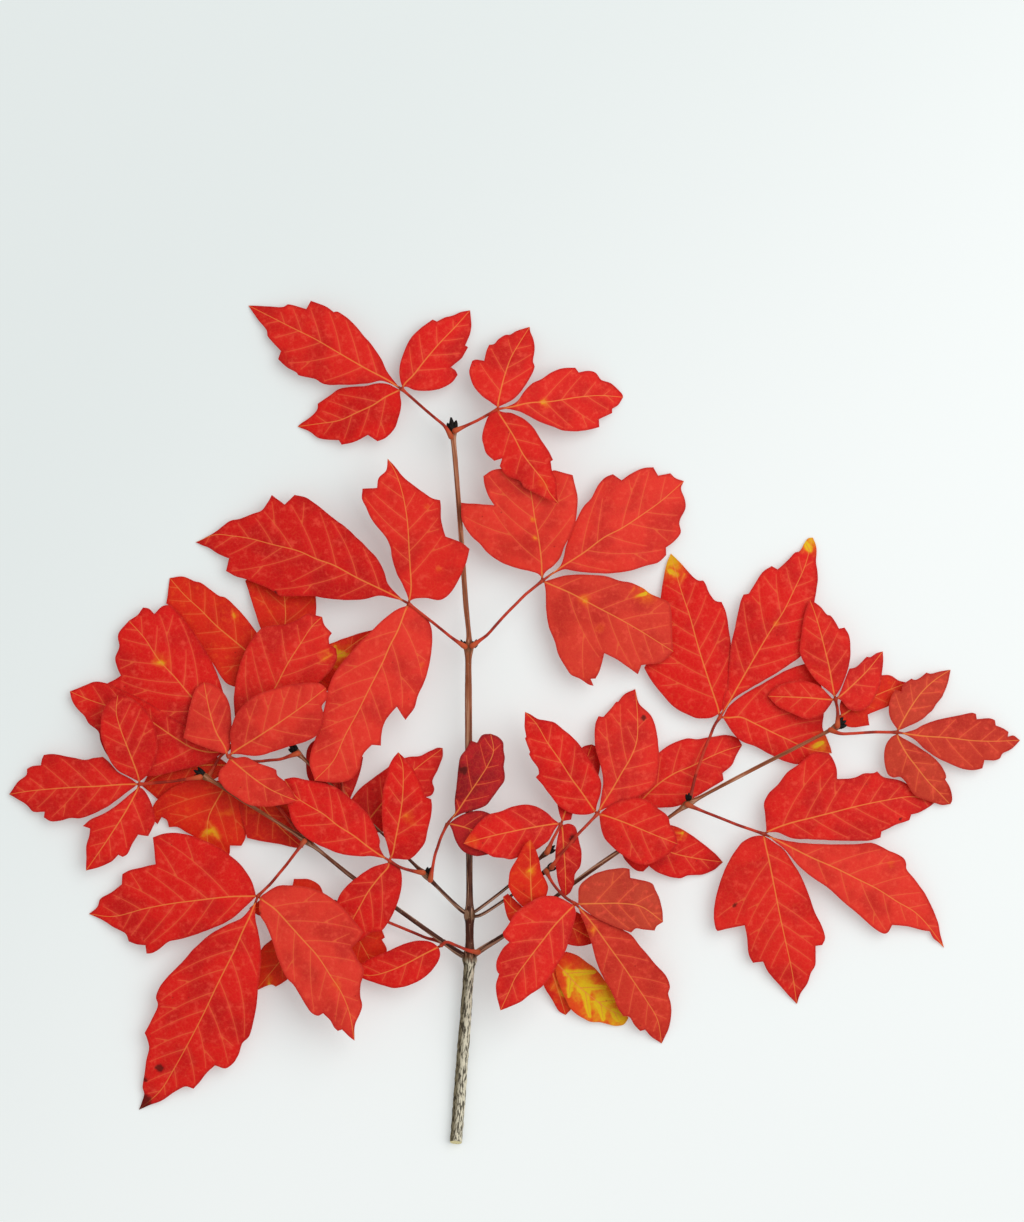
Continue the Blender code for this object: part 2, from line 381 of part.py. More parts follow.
            ("15.5,54.3 24.3,60 31.4,65.3 37.4,68.4 46.8,74.7 51.8,78.4 59.3,85",
             "15.8,55.3 17.1,58.6 17.8,62 18.6,64.4 21.1,70.6 24.3,76.3 26.8,79.1 29.3,83.8 31.8,86.3 "
             "34.3,87.4 37.4,85.3 41.1,87.8 44.3,89.4 48.6,89.9 50.2,86.9 54.6,87.8 56.1,86.3",
             "17.1,53.9 21.2,53.3 27.2,52.7 34.6,52.6 40.7,53.6 46.1,55.3 50.1,56.3 53.1,59 53,61.6 "
             "56.1,64.1 58.2,66.9 57.7,70 58.3,72.2 59.9,75.6 59.6,78.8 58.3,82.5"),
            ("11.5,49.1 19.8,45.5 29.2,40.5 36.3,36.8 44,32.4 49.4,29 55.5,25.2",
             "13.1,50.6 17.1,51.8 22.5,52.2 27.9,52 31.9,51.6 36,50.2 40.7,49.2 44.7,47.5 47.4,45.5 "
             "50.8,44 53.8,42.5 54.7,39.8 55,33",
             "10.7,46.5 10.9,39.8 11.9,33.7 13.8,29 15.1,24.3 17.8,19.6 19.5,17.2 22.8,15.6 25.9,13.5 "
             "27.5,13.2 26.4,15.6 28.2,15.7 29.6,18.2 31.3,24.6 35.3,22.6 40.7,18.9 43,17.2 44.2,20.4 "
             "51.4,21.6"),
        )),
    "leaf_mid_left": dict(
        colour="#a6211c", under=False,
        hub="-37.2,42", stalk="-17.6,27 -22,30 -28.5,35.2",
        blades=(
            ("-43.3,45.3 -48.5,47.8 -55.2,51 -63.6,55.5 -69.5,57.6 -75.8,60.4 -84.9,62.7 -93.3,64.9 "
             "-98.9,65.7 -105.2,66.2 -112.2,63.5",
             "-47.8,44.7 -52,43.6 -57.6,43.2 -64.6,43.6 -70.2,44.5 -75.8,44.6 -82.1,44.7 -86,47.1 "
             "-89.1,48.5 -94.7,50.6 -98.2,51.6 -101.4,53.4 -100.3,57.9 -103.8,59.3 -107.3,61.4",
             "-44.3,48.8 -45.7,53 -47.8,57.2 -51.3,61.1 -55.5,65.3 -59.7,69.1 -65,73 -69.5,76.7 -73,79 "
             "-77.2,80.1 -80.7,76.7 -85.3,80.1 -86.7,77.5 -88.8,74.7 -92.6,73.3 -96.1,71.9 -100.3,70.9 "
             "-104.5,67.7 -108,65.6"),
            ("-36.8,44 -36.3,47.4 -36.6,54.4 -37,61.4 -37.3,67.7 -38,74 -39.4,81 -41.5,87.3 -44.4,92.6",
             "-37.7,44.9 -39.4,48.8 -41.5,53 -43.1,58.3 -43.5,61.4 -45,64.9 -47.8,68.4 -49.9,71.2 "
             "-52,75.4 -53.4,78.6 -53.2,82.1 -48.2,82.4 -47.5,85.9 -45,88.4",
             "-35.5,43.6 -31,43.9 -26.5,43.2 -23.3,45 -20.5,48.8 -17.2,55.9 -15.9,61.1 -18.7,63.3 "
             "-24.2,65.4 -25.7,70.7 -25.9,75.8 -26.1,78.1 -29,78.8 -34.2,82.5 -38.7,85.9 -41.5,89.4"),
            ("-38.3,39.6 -41,32.5 -43.7,27.3 -46.1,21.7 -49.8,14.4 -52.1,9.8 -55,3.9 -59.4,-4.2 "
             "-63.5,-13 -70,-19.8",
             "-35,40.4 -31.4,37.8 -29.2,33.5 -29,28.5 -29.8,21 -31.3,15.5 -33.8,10 -35.2,5.5 -37,3 "
             "-38.2,1.3 -39.5,3 -41.3,6 -43.5,3.5 -45.5,0.5 -46.5,-3 -46.8,-7.6 -50,-7.4 -53,-10.5 "
             "-54.5,-16 -57.5,-19.5 -63,-20.5",
             "-40.3,40.5 -43.7,38.3 -47.2,35.4 -50.4,32.2 -54.2,28.4 -59,23 -63.2,17.3 -65.3,12.1 "
             "-66.5,6 -68,0 -70,-6 -71.8,-13"),
        )),
    "leaf_top_right": dict(
        colour="#a8231c", under=False,
        hub="-6,110", stalk="-20.9,102.4 -13.2,106",
        blades=(
            ("-5.9,112 -4.5,118.6 -3.1,123.5 -1.3,128.4 1.5,133.3 5.2,139.2",
             "-9,112.7 -12.9,115.8 -15.3,120 -16,123.5 -15,127 -13.9,127.5 -10.8,127 -10.1,130.5 "
             "-9,132.7 -7.3,133 -5.9,134.7 -3.4,136.2 -1.7,136.3 0.1,137.5",
             "-2.7,112.3 0.1,114 4.3,119.3 6.9,125.2 6.4,126.7 7,131.2 6.5,134.7 5.4,137.5"),
            ("-1.2,110.8 4.9,112.2 13,112.8 21.8,114.3 29.9,115 38,114.5",
             "0.5,112.5 3,115.9 6.1,119.1 9.3,120.6 12.4,122.8 16.1,124.4 21.1,124.7 22.4,123.1 "
             "25.5,123.6 28.3,123 30.2,120.6 33,119.7 35.2,118.1 37.7,115.6",
             "1.5,109.2 4.3,107.8 9.3,105.3 13.6,103.8 16.8,102.6 22.4,102.4 26.1,103 29.6,103.9 "
             "29.4,106.6 31.1,107.5 34.1,108.9 34.1,110.3 36.4,111.9"),
            ("-5.6,108.6 -3.3,105 -0.4,100.3 3,93.8 6.8,88.8 10.2,84.4 12.1,80.6 15.2,76.9",
             "-3.6,108.8 -1.4,108.6 3,106.6 6.1,103.8 9.3,98.8 11.8,95.3 13.3,92.2 12.4,91.6 13,88.1 "
             "14.3,85.6 14.6,80",
             "-8.6,108.5 -10.4,105 -11.5,100.3 -11.1,97.5 -10.1,94.4 -7.3,91.9 -4.5,92.6 -5.3,90 "
             "-3.3,86.9 1.8,84.7 3,82.8 8,80 13,77.5"),
        )),
    "leaf_top_left": dict(
        colour="#a6221c", under=False,
        hub="-39.7,117.2", stalk="-22.4,100.4 -24.6,104 -31,109.5",
        blades=(
            ("-42,118.6 -44,120 -52.5,124.5 -62,130 -70,134.7 -78,138.7 -93.6,146.7",
             "-46.8,120 -51,119.2 -60,118.6 -67,119 -69.9,120.6 -76.1,122.2 -76.5,122.9 -80,124.9 "
             "-83.1,127.8 -82.1,130.5 -86.9,136 -87,137.5 -90.2,141.7",
             "-44.7,123.1 -46.5,127 -49.6,131.9 -53.5,136.5 -57,140.6 -62.4,144.4 -63.6,144.2 "
             "-65.7,145.9 -71.6,148.2 -73.2,145.4 -79.8,147 -81,146.2 -90.2,146.6"),
            ("-38.5,119.2 -35.6,122.1 -32.1,126.6 -26.5,133.3 -20.9,139.2 -15.8,145",
             "-40.3,120.5 -40.5,124.2 -39.1,129.8 -36.3,135.4 -32.8,138.8 -28.9,141.7 -27.5,141 "
             "-24.7,142.4 -21.9,143.1 -18.8,144.5",
             "-38,118 -35.6,116.9 -31.4,116.5 -26.5,117.2 -22.3,119.3 -20,122.2 -20.9,123.8 -22.4,124.9 "
             "-18.8,128 -17.7,129.8 -16.5,132 -17.5,132.6 -15.4,138.2"),
            ("-41.5,116.3 -45.4,114.4 -49.9,111.5 -55.2,109.1 -61.5,106.3 -68.5,105.2 -76.4,104.2",
             "-40.2,115.2 -39.8,111.6 -40.9,106.7 -42.3,103.2 -45.4,100 -48.2,98.9 -51.6,101.1 "
             "-56.3,98.7 -60.8,97.7 -61.8,99.4 -65.7,99.5 -69.4,100.3 -71.7,102.2",
             "-42.5,118 -44.7,119 -48.2,119.2 -53,118.2 -58,118 -62.2,117 -64.7,115.2 -69.2,112.2 "
             "-69.4,110.2 -72,107.4 -75.5,105"),
        )),
    "leaf_left_over": dict(
        colour="#b4403a", under=False,
        hub="-100.5,-11.5", stalk="-76,-10.4 -82,-12.4 -90,-13.2 -96,-12.8",
        blades=(
            ("-97,-9 -89,-4 -80,2 -73,7 -66,12.5",
             "-99.3,-7.5 -99.5,-3.5 -98,2 -94.5,7 -90.5,10 -84,12.3 -79.5,13.6 -73,14.4 -67.7,14",
             "-96.5,-10.7 -90,-11.2 -84,-9.6 -79,-8 -74,-6.5 -70.5,-5 -69.5,-4.3 -67.5,-1 -66.6,3 "
             "-67.4,6 -65.3,9.5"),
            ("-101.3,-8.5 -104.5,-3 -106.5,3 -108,9.5 -108.9,14.4",
             "-103.3,-10 -108,-8.5 -113,-6.5 -116,-5 -115,0 -113.6,7 -111.6,12.4",
             "-99.9,-8.5 -99.2,-4 -99.2,1 -100,7 -102.6,11.5 -106,13.8"),
            ("-98.3,-13.3 -92,-18.5 -86,-22.6 -81,-25 -76.3,-26.8",
             "-97.5,-11.9 -94,-11.6 -90,-13.6 -84.5,-15.5 -83.4,-16.2 -83,-18 -80.5,-20 -79,-22 "
             "-77.5,-24",
             "-101,-14 -103.3,-16.5 -103.8,-19.5 -101,-23 -97,-26 -92.5,-28.4 -87,-28.9 -82,-28.4 "
             "-78,-27.6"),
        )),
    "leaf_far_left": dict(
        colour="#a8251e", under=False,
        hub="-131.5,-21.3", stalk="-110.2,-18.7 -120,-20.2",
        blades=(
            ("-134,-21.3 -138,-21.4 -146,-22 -155,-22.4 -165,-23.2 -172,-24 -177.6,-25",
             "-134.5,-23 -139,-26.5 -144,-29.8 -149,-32.2 -152.5,-33.3 -156,-33.2 -159.5,-34.2 "
             "-163,-34.3 -165.2,-33 -165,-31 -169,-31 -171,-29 -174,-27",
             "-134,-19.8 -139,-17 -142,-13.8 -144.5,-11.7 -148,-12.2 -150.3,-12.7 -155,-12 -162,-10.7 "
             "-165.3,-11 -166,-12.5 -166.3,-14.7 -169.5,-15 -171.3,-16 -171.5,-18 -174.5,-20.5"),
            ("-132,-18.5 -135,-10 -138,-2 -139.5,4 -139,9.8",
             "-134.5,-19 -139,-16.5 -142,-12.5 -144.5,-6 -145,-1 -144.3,4 -142.5,7.5",
             "-130,-19.3 -126.8,-15 -125.3,-10 -125.5,-3 -126.5,0 -128.5,3.5 -132,7.5 -136,9.6"),
            ("-132.7,-24 -136.5,-31 -140,-36.5 -144,-42.5 -147.5,-47.5 -150.4,-51.6",
             "-130.3,-23 -128,-26.5 -126.5,-31 -126,-34 -127,-36.4 -128.5,-39.5 -132,-39 -134,-42 "
             "-136,-46 -137.5,-46.8 -139,-46 -141.5,-48.5 -146,-50.5",
             "-134.6,-24.5 -139.5,-28.5 -144,-31.5 -148.5,-33.5 -151.5,-36 -149,-36.8 -149.3,-39.5 "
             "-150.3,-43 -150.3,-47.5"),
        )),
    "leaf_right_over": dict(
        colour="#ac281e", under=False,
        hub="112.3,8.4", stalk="112.7,-0.7 112.8,4",
        blades=(
            ("111.6,11.5 110,20 108.3,27 106.5,34 104.8,39.5 103.3,43.4",
             "110.2,11 106,14.5 102,20 99.8,25 100.3,31 101.2,37 102.2,40.8",
             "113.6,11.6 116,17 117.3,22 117.5,28 116.8,31.5 115.5,33.6 113.5,33.2 112,36 110.5,37.8 "
             "109.5,38 107.5,40.5 105.3,42.3"),
            ("114.5,10 119.5,14.5 124,19 129.1,25.2",
             "114.2,11.7 115.7,15.5 117.2,19.2 119,19.5 120.5,20.5 123.3,23.4 124.5,23.2 127,24.7",
             "114.5,7.8 117,5 121,4.3 124,6 126.5,10 128.2,14 128.8,18 129.2,22"),
            ("109.8,8.4 103,9 96,9.3 88.5,9.5",
             "110.5,6.6 107.5,3 103,1.5 97,3.5 92,6",
             "109.7,10.3 106,13.5 100,15 94,14 90.5,12"),
        )),
    "leaf_far_right": dict(
        colour="#a8261e", under=False,
        hub="133.8,-3.1", stalk="110.4,-2.2 113.6,-3.4 118,-3.4 126,-3",
        blades=(
            ("135,-0.8 139,6 143,11.3 147.5,15.3 153,18.8",
             "133.2,-1 131.3,2.5 131,6 132,9.5 133.3,11.8 135.5,11.2 136,13.5 139,15.7 140.5,15.3 "
             "144.5,17.8 145.8,17.4 149.5,18.3",
             "135.8,-1.9 139,-0.5 143,1.5 145,3.5 146.5,4.7 148,7 150,9.5 150.3,10.3 151.8,13.5"),
            ("139,-3.9 144,-4.5 152,-5 160,-6 168,-6.3 177.4,-6",
             "140,-2.2 143,-0.5 149,1.5 155,2.7 160.5,3.7 161.7,3.3 162,1.5 167,1.7 168.5,1 168.8,-0.8 "
             "171.5,-1.8 173.3,-3 173,-4.7 175,-4.3",
             "140,-5.6 143.3,-8.8 147.5,-11.8 152,-14 157,-16 161,-16.5 164,-15.8 164.7,-12.9 168.5,-13 "
             "170.3,-12.2 171,-10.8 174.5,-9"),
            ("134.3,-5.2 137.5,-11 141,-15.5 145,-20.5 149,-24.5 152.8,-28.5",
             "135.5,-4.8 139.5,-7 144,-10 146.3,-11.6 148.8,-14 150.8,-17 151.3,-19 151,-19.7 152.8,-23 "
             "153.5,-27",
             "132,-4.6 130,-7.5 129.3,-11 129.7,-15 130.8,-18 132.5,-19 135,-18.8 137,-20.5 139.5,-24.5 "
             "141.5,-26 146,-27.5 150,-28.7"),
        )),
}


def points_of(text):
    """Turns "x,y x,y" into an array of points."""
    return np.array([[float(value) for value in pair.split(",")] for pair in text.split()])


def clear_scene():
    for obj in list(bpy.data.objects):
        bpy.data.objects.remove(obj, do_unlink=True)


def linear(channel):
    return channel / 12.92 if channel <= 0.04045 else ((channel + 0.055) / 1.055) ** 2.4


def material(name, colour, roughness):
    made = bpy.data.materials.new(name)
    made.use_nodes = True
    shader = made.node_tree.nodes["Principled BSDF"]
    rgb = [linear(int(colour[i : i + 2], 16) / 255) for i in (1, 3, 5)]
    shader.inputs["Base Color"].default_value = (*rgb, 1)
    shader.inputs["Roughness"].default_value = roughness
    shader.inputs["Metallic"].default_value = 0
    return made


def simpler(line):
    """Leaves out the points of a line that lie within FLATNESS of the straight way past them."""
    if len(line) < 3:
        return line
    away = distance_to_line(line[[0, -1]], line)
    farthest = int(away.argmax())
    if away[farthest] < FLATNESS:
        return line[[0, -1]]
    return np.vstack([simpler(line[: farthest + 1])[:-1], simpler(line[farthest:])])


def inside(outline, places):
    """True for each place that lies inside the closed outline, by crossing count."""
    x, y = places[:, 0], places[:, 1]
    found = np.zeros(len(places), bool)
    for (ax, ay), (bx, by) in zip(outline, np.roll(outline, -1, axis=0)):
        crosses = (ay > y) != (by > y)
        if crosses.any():
            found ^= crosses & (x < ax + (y - ay) * (bx - ax) / (by - ay + 1e-12))
    return found


def distance_to_line(line, places):
    """The shortest distance from each place to a line of points."""
    best = np.full(len(places), np.inf)
    for start, end in zip(line, line[1:]):
        along = end - start
        share = np.clip(((places - start) @ along) / max(along @ along, 1e-9), 0, 1)
        gap = np.linalg.norm(places - start - share[:, None] * along, axis=1)
        best = np.minimum(best, gap)
    return best


class Pile:
    """The height of what lies on the table so far, in square cells."""

    def __init__(self):
        self.columns = int((FIELD_X[1] - FIELD_X[0]) / CELL)
        self.rows = int((FIELD_Y[1] - FIELD_Y[0]) / CELL)
        # The table itself needs no clearance, so it starts that much lower.
        self.top = np.full((self.rows, self.columns), -CLEARANCE)
        x = FIELD_X[0] + (np.arange(self.columns) + 0.5) * CELL
        y = FIELD_Y[0] + (np.arange(self.rows) + 0.5) * CELL
        self.centres = np.stack(np.meshgrid(x, y), -1).reshape(-1, 2)

    def cells(self, places):
        column = ((places[:, 0] - FIELD_X[0]) / CELL).astype(int).clip(0, self.columns - 1)
        row = ((places[:, 1] - FIELD_Y[0]) / CELL).astype(int).clip(0, self.rows - 1)
        return row, column

    def under(self, places):
        """The highest point in and around the cell of each place."""
        padded = np.pad(self.top, 1, mode="edge")
        spread = self.top.copy()
        for row in range(3):
            for column in range(3):
                part = padded[row : row + self.rows, column : column + self.columns]
                spread = np.maximum(spread, part)
        return spread[self.cells(places)]

    def raise_to(self, places, heights):
        np.maximum.at(self.top, self.cells(places), heights)

    def centres_in(self, outline):
        low, high = outline.min(0), outline.max(0)
        near = ((self.centres >= low) & (self.centres <= high)).all(1)
        centres = self.centres[near]
        return centres[inside(outline, centres)]


def between(points, step):
    """Points along a line of points, no further apart than the step."""
    made = [points[0]]
    for start, end in zip(points, points[1:]):
        count = max(1, math.ceil(np.linalg.norm((end - start)[:2]) / step))
        made += [start + (end - start) * (i + 1) / count for i in range(count)]
    return np.array(made)


class Blade:
    """One leaflet: its outline and rib from above, and the curved plane that it lies in."""

    def __init__(self, hub, rib, left, right):
        self.hub = hub
        self.rib = simpler(points_of(rib))
        base, tip = self.rib[[0, -1]]
        left = simpler(np.vstack([base, points_of(left), tip]))
        right = simpler(np.vstack([base, points_of(right), tip]))
        self.outline = np.vstack([left, right[-2:0:-1]])
        self.length = np.linalg.norm(tip - hub)
        self.axis = (tip - hub) / self.length
        self.pitch = 0.0

    def reach(self, places):
        return (places - self.hub) @ self.axis

    def curve(self, places):
        """The blade's own bow along its rib, and the droop of its margins."""
        share = np.clip(self.reach(places) / self.length, 0, 1)
        bow = BOW * self.length * 4 * share * (1 - share)
        return bow - MARGIN_DROOP * distance_to_line(self.rib, places)

    def height(self, places, hub_height):
        return hub_height + self.pitch * self.reach(places) + self.curve(places)

    def samples(self, pile):
        edge = between(np.vstack([self.outline, self.outline[:1]]), CELL)
        return np.vstack([pile.centres_in(self.outline), edge, self.rib])


def settle(leaf, pile, start_height):
    """Finds the lowest hub at which each leaflet clears the pile, and each leaflet's slope."""
    lift = CLEARANCE + BLADE_THICKNESS / 2
    stalk = leaf["route"][-1:]
    needs = [pile.under(stalk)[0] + CLEARANCE + STALK_RADIUS, start_height * HUB_SHARE]
    found = []
    for blade in leaf["made"]:
        places = blade.samples(pile)
        reach = np.maximum(blade.reach(places), BASE_REACH)
        need = pile.under(places) + lift - blade.curve(places)
        needs.append((need - MOST_RISE * reach).max())
        found.append((need, reach))
    hub_height = max(needs)
    for blade, (need, reach) in zip(leaf["made"], found):
        blade.pitch = max(((need - hub_height) / reach).max(), -MOST_DROP)
    return hub_height


def stalk_heights(route, pile, start_height, hub_height):
    """Each knot's height: a straight fall from the twig to the hub, lifted over what is below."""
    knots = between(route, STALK_STEP)
    fine = between(route, 1.0)
    need = pile.under(fine) + CLEARANCE + STALK_RADIUS
    share = np.linspace(0, 1, len(knots))
    heights = start_height + (hub_height - start_height) * share
    for i, knot in enumerate(knots[1:-1], 1):
        near = np.linalg.norm(fine - knot, axis=1) <= STALK_STEP
        heights[i] = max(heights[i], need[near].max())
    return np.column_stack([knots, heights])


def tube_mesh(knots, radii, sides):
    """A closed tube through the knots, with a flat side facing straight down."""
    tube = bmesh.new()
    knots = [Vector(knot) for knot in knots]
    rings = []
    for i, (knot, radius) in enumerate(zip(knots, radii)):
        before = knots[max(i - 1, 0)]
        after = knots[min(i + 1, len(knots) - 1)]
        along = (after - before).normalized()
        across = along.cross(Vector((0, 0, 1))).normalized()
        up = across.cross(along)
        ring = []
        for side in range(sides):
            angle = 2 * math.pi * (side + 0.5) / sides - math.pi / 2
            ring.append(tube.verts.new(knot + radius * (math.cos(angle) * across + math.sin(angle) * up)))
        rings.append(ring)
    for first, second in zip(rings, rings[1:]):
        for side in range(sides):
            after = (side + 1) % sides
            tube.faces.new((first[side], first[after], second[after], second[side]))
    tube.faces.new(rings[0][::-1])
    tube.faces.new(rings[-1])
    return finished(tube)


def blade_mesh(blade, hub_height):
    """A thin solid leaflet, split into the same triangles on both faces."""
    inner = blade.rib[1:-1]
    places = np.vstack([blade.outline, inner])
    count = len(blade.outline)
    tip = int(np.argmin(np.linalg.norm(blade.outline - blade.rib[-1], axis=1)))
    chain = [0, *range(count, len(places)), tip]
    edges = list(zip(chain, chain[1:]))
    ring = list(range(count))
    split = delaunay_2d_cdt([Vector(p) for p in places], edges, [ring], 1, 1e-6)
    if len(split[0]) != len(places):
        raise ValueError("a leaflet's outline crosses itself or its rib")
    height = blade.height(places, hub_height)
    top = height + BLADE_THICKNESS / 2
    top[count:] += RIB_RISE
    bottom = height - BLADE_THICKNESS / 2
    solid = bmesh.new()
    upper = [solid.verts.new((*p, z)) for p, z in zip(places, top)]
    lower = [solid.verts.new((*p, z)) for p, z in zip(places, bottom)]
    for a, b, c in split[2]:
        solid.faces.new((upper[a], upper[b], upper[c]))
        solid.faces.new((lower[c], lower[b], lower[a]))
    for i in range(count):
        after = (i + 1) % count
        solid.faces.new((lower[i], lower[after], upper[after], upper[i]))
    return finished(solid)


def finished(solid):
    """Scales a mesh from millimetres, splits it into triangles and turns its faces out."""
    bmesh.ops.scale(solid, vec=(MM, MM, MM), verts=solid.verts)
    bmesh.ops.triangulate(solid, faces=solid.faces)
    bmesh.ops.recalc_face_normals(solid, faces=solid.faces)
    mesh = bpy.data.meshes.new("piece")
    solid.to_mesh(mesh)
    solid.free()
    return mesh


def fused(name, meshes, finish):
    """One named object: the first mesh joined with all the others by one Boolean union."""
    body = bpy.data.objects.new(name, meshes[0])
    bpy.context.scene.collection.objects.link(body)
    joined = bpy.data.collections.new(name + "_parts")
    bpy.context.scene.collection.children.link(joined)
    for mesh in meshes[1:]:
        joined.objects.link(bpy.data.objects.new(name + "_part", mesh))
    union = body.modifiers.new("Union", "BOOLEAN")
    union.operation = "UNION"
    union.operand_type = "COLLECTION"
    union.collection = joined
    union.solver = SOLVER
    graph = bpy.context.evaluated_depsgraph_get()
    whole = bpy.data.meshes.new_from_object(body.evaluated_get(graph))
    body.modifiers.clear()
    body.data = whole
    for part in list(joined.objects):
        bpy.data.objects.remove(part, do_unlink=True)
    bpy.data.collections.remove(joined)
    whole.materials.clear()
    whole.materials.append(finish)
    return body


def make_twig():
    meshes = []
    for length in TWIG:
        knots = [knot[:3] for knot in length]
        sides = TWIG_SIDES if length is STEM else 6
        meshes.append(tube_mesh(knots, [knot[3] for knot in length], sides))
    for bud in BUDS:
        base, point = Vector(bud[:3]), Vector(bud[3:])
        knots = [base, base.lerp(point, 0.45), point]
        meshes.append(tube_mesh(knots, [BUD_RADIUS, BUD_RADIUS, 0.2], 6))
    fused("twig", meshes, material("twig_bark", TWIG_COLOUR, 0.8))


def lay_twig(pile):
    """Adds the twig and its buds to the pile."""
    for length in TWIG:
        line = between(np.array(length), 0.5)
        for side in (-1, 0, 1):
            turned = np.column_stack([line[:, 0] + side * line[:, 3], line[:, 1]])
            pile.raise_to(turned, line[:, 2] + line[:, 3])
            turned = np.column_stack([line[:, 0], line[:, 1] + side * line[:, 3]])
            pile.raise_to(turned, line[:, 2] + line[:, 3])
    for bud in BUDS:
        line = between(np.array([bud[:3], bud[3:]]), 0.5)
        pile.raise_to(line[:, :2], line[:, 2] + BUD_RADIUS)


def twig_seat(place):
    """The height of the twig's axis at the nearest point, and its largest radius close by."""
    line = np.vstack([between(np.array(length), 0.5) for length in TWIG])
    away = np.linalg.norm(line[:, :2] - place, axis=1)
    close = away <= away.min() + SEAT_REACH
    return line[away.argmin(), 2], line[close, 3].max()


def lay_leaf(name, leaf, pile):
    """Builds one leaf on top of the pile, and adds it to the pile."""
    hub = points_of(leaf["hub"])[0]
    leaf["route"] = np.vstack([points_of(leaf["stalk"]), hub])
    leaf["made"] = [Blade(hub, *blade) for blade in leaf["blades"]]
    height, radius = twig_seat(leaf["route"][0])
    side = -1 if leaf["under"] else 1
    start_height = height + side * (radius + SEAT_GAP + STALK_RADIUS)
    hub_height = settle(leaf, pile, start_height)
    knots = stalk_heights(leaf["route"], pile, start_height, hub_height)
    meshes = [tube_mesh(knots, [STALK_RADIUS] * len(knots), STALK_SIDES)]
    for blade in leaf["made"]:
        meshes.append(blade_mesh(blade, hub_height))
        meshes.append(stalklet_mesh(blade, hub_height))
    for blade in leaf["made"]:
        places = blade.samples(pile)
        heights = blade.height(places, hub_height) + BLADE_THICKNESS / 2 + RIB_RISE
        pile.raise_to(places, heights)
    fine = between(knots, 0.5)
    pile.raise_to(fine[:, :2], fine[:, 2] + STALK_RADIUS)
    fused(name, meshes, material(name + "_blade", leaf["colour"], 0.6))
    return hub_height


def stalklet_mesh(blade, hub_height):
    """The short stalk that runs from the hub into the leaflet's rib."""
    first, second = blade.rib[0], blade.rib[1]
    into = first + (second - first) * min(1.0, 5.0 / np.linalg.norm(second - first))
    places = np.vstack([blade.hub, first, into])
    heights = blade.height(places, hub_height)
    heights[0] = hub_height
    return tube_mesh(np.column_stack([places, heights]), [STALKLET_RADIUS] * 3, STALK_SIDES)


def main():
    clear_scene()
    pile = Pile()
    for name, leaf in LEAVES.items():
        if leaf["under"]:
            lay_leaf(name, leaf, pile)
    make_twig()
    lay_twig(pile)
    for name, leaf in LEAVES.items():
        if not leaf["under"]:
            lay_leaf(name, leaf, pile)


main()
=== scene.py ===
"""A cut maple twig with its autumn leaves, lying on a pale table.

Outlines and routes below are in millimetres, seen from above. The frame is in metres, and +Z is up.
Each leaflet is a thin closed sheet with its own midrib, side veins and waved margin. It takes its height
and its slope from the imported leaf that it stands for, so that it lies in the pile where that leaf lies.
"""

import math

import bpy
import numpy as np
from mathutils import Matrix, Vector, noise
from mathutils.geometry import delaunay_2d_cdt


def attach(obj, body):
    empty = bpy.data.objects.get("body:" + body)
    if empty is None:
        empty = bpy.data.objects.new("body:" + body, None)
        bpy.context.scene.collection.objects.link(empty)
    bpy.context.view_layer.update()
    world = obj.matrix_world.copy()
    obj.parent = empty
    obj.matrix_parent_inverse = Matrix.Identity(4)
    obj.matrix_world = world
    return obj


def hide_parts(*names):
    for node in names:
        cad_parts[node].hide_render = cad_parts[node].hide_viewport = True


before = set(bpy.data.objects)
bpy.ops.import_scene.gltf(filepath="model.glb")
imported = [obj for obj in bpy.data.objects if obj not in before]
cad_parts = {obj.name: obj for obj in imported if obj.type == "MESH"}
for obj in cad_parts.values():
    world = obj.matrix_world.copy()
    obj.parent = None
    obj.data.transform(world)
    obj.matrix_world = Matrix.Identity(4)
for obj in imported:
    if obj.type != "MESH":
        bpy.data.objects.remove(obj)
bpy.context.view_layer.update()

bl_info = {
    "name": "Maple Twig in Autumn",
    "version": (1, 0, 0),
    "blender": (4, 5, 0),
    "location": "View3D > Sidebar > Maple Twig",
    "description": "Builds a cut maple twig, its compound leaves and the table that it lies on",
    "category": "Object",
}

MM = 0.001
SEED = 27
# Guards against a division by nothing.
LEAST_SPAN = 1e-9
LEAST_RISE = 1e-12

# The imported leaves: how they bow along their ribs and droop to their margins, how thick their blades
# are, and the step and the radius of their stalks. A packed point within MATCH is the one looked for,
# and LEAST_FOUND of them are enough to read a height.
BOW = 0.035
MARGIN_DROOP = 0.05
BLADE_THICKNESS = 0.6
STALK_STEP = 6.0
STALK_RADIUS = 0.62
MATCH = 0.02
LEAST_FOUND = 3

# Margins and ribs: where a blade starts between hub and rib, the steps along it, the turn that stays a
# sharp corner, and how far and at what length a margin strays.
BASE_SHARE = 0.3
OUTLINE_STEP = 0.8
RIB_STEP = 1.2
CORNER = math.radians(48)
MARGIN_FRAY = 0.12
FRAY_LENGTH = 3.0
# Points inside a blade: a honeycomb, kept clear of the lines, and a row on both flanks of each line.
# INSIDE_ONLY asks for the triangles inside the outline, and points nearer than MERGE_GAP become one.
GRID = 1.45
GRID_CLEAR = 0.85
FLANK = 0.4
FLANK_CLEAR = 0.8
MERGE_GAP = 0.0001
INSIDE_ONLY = 1

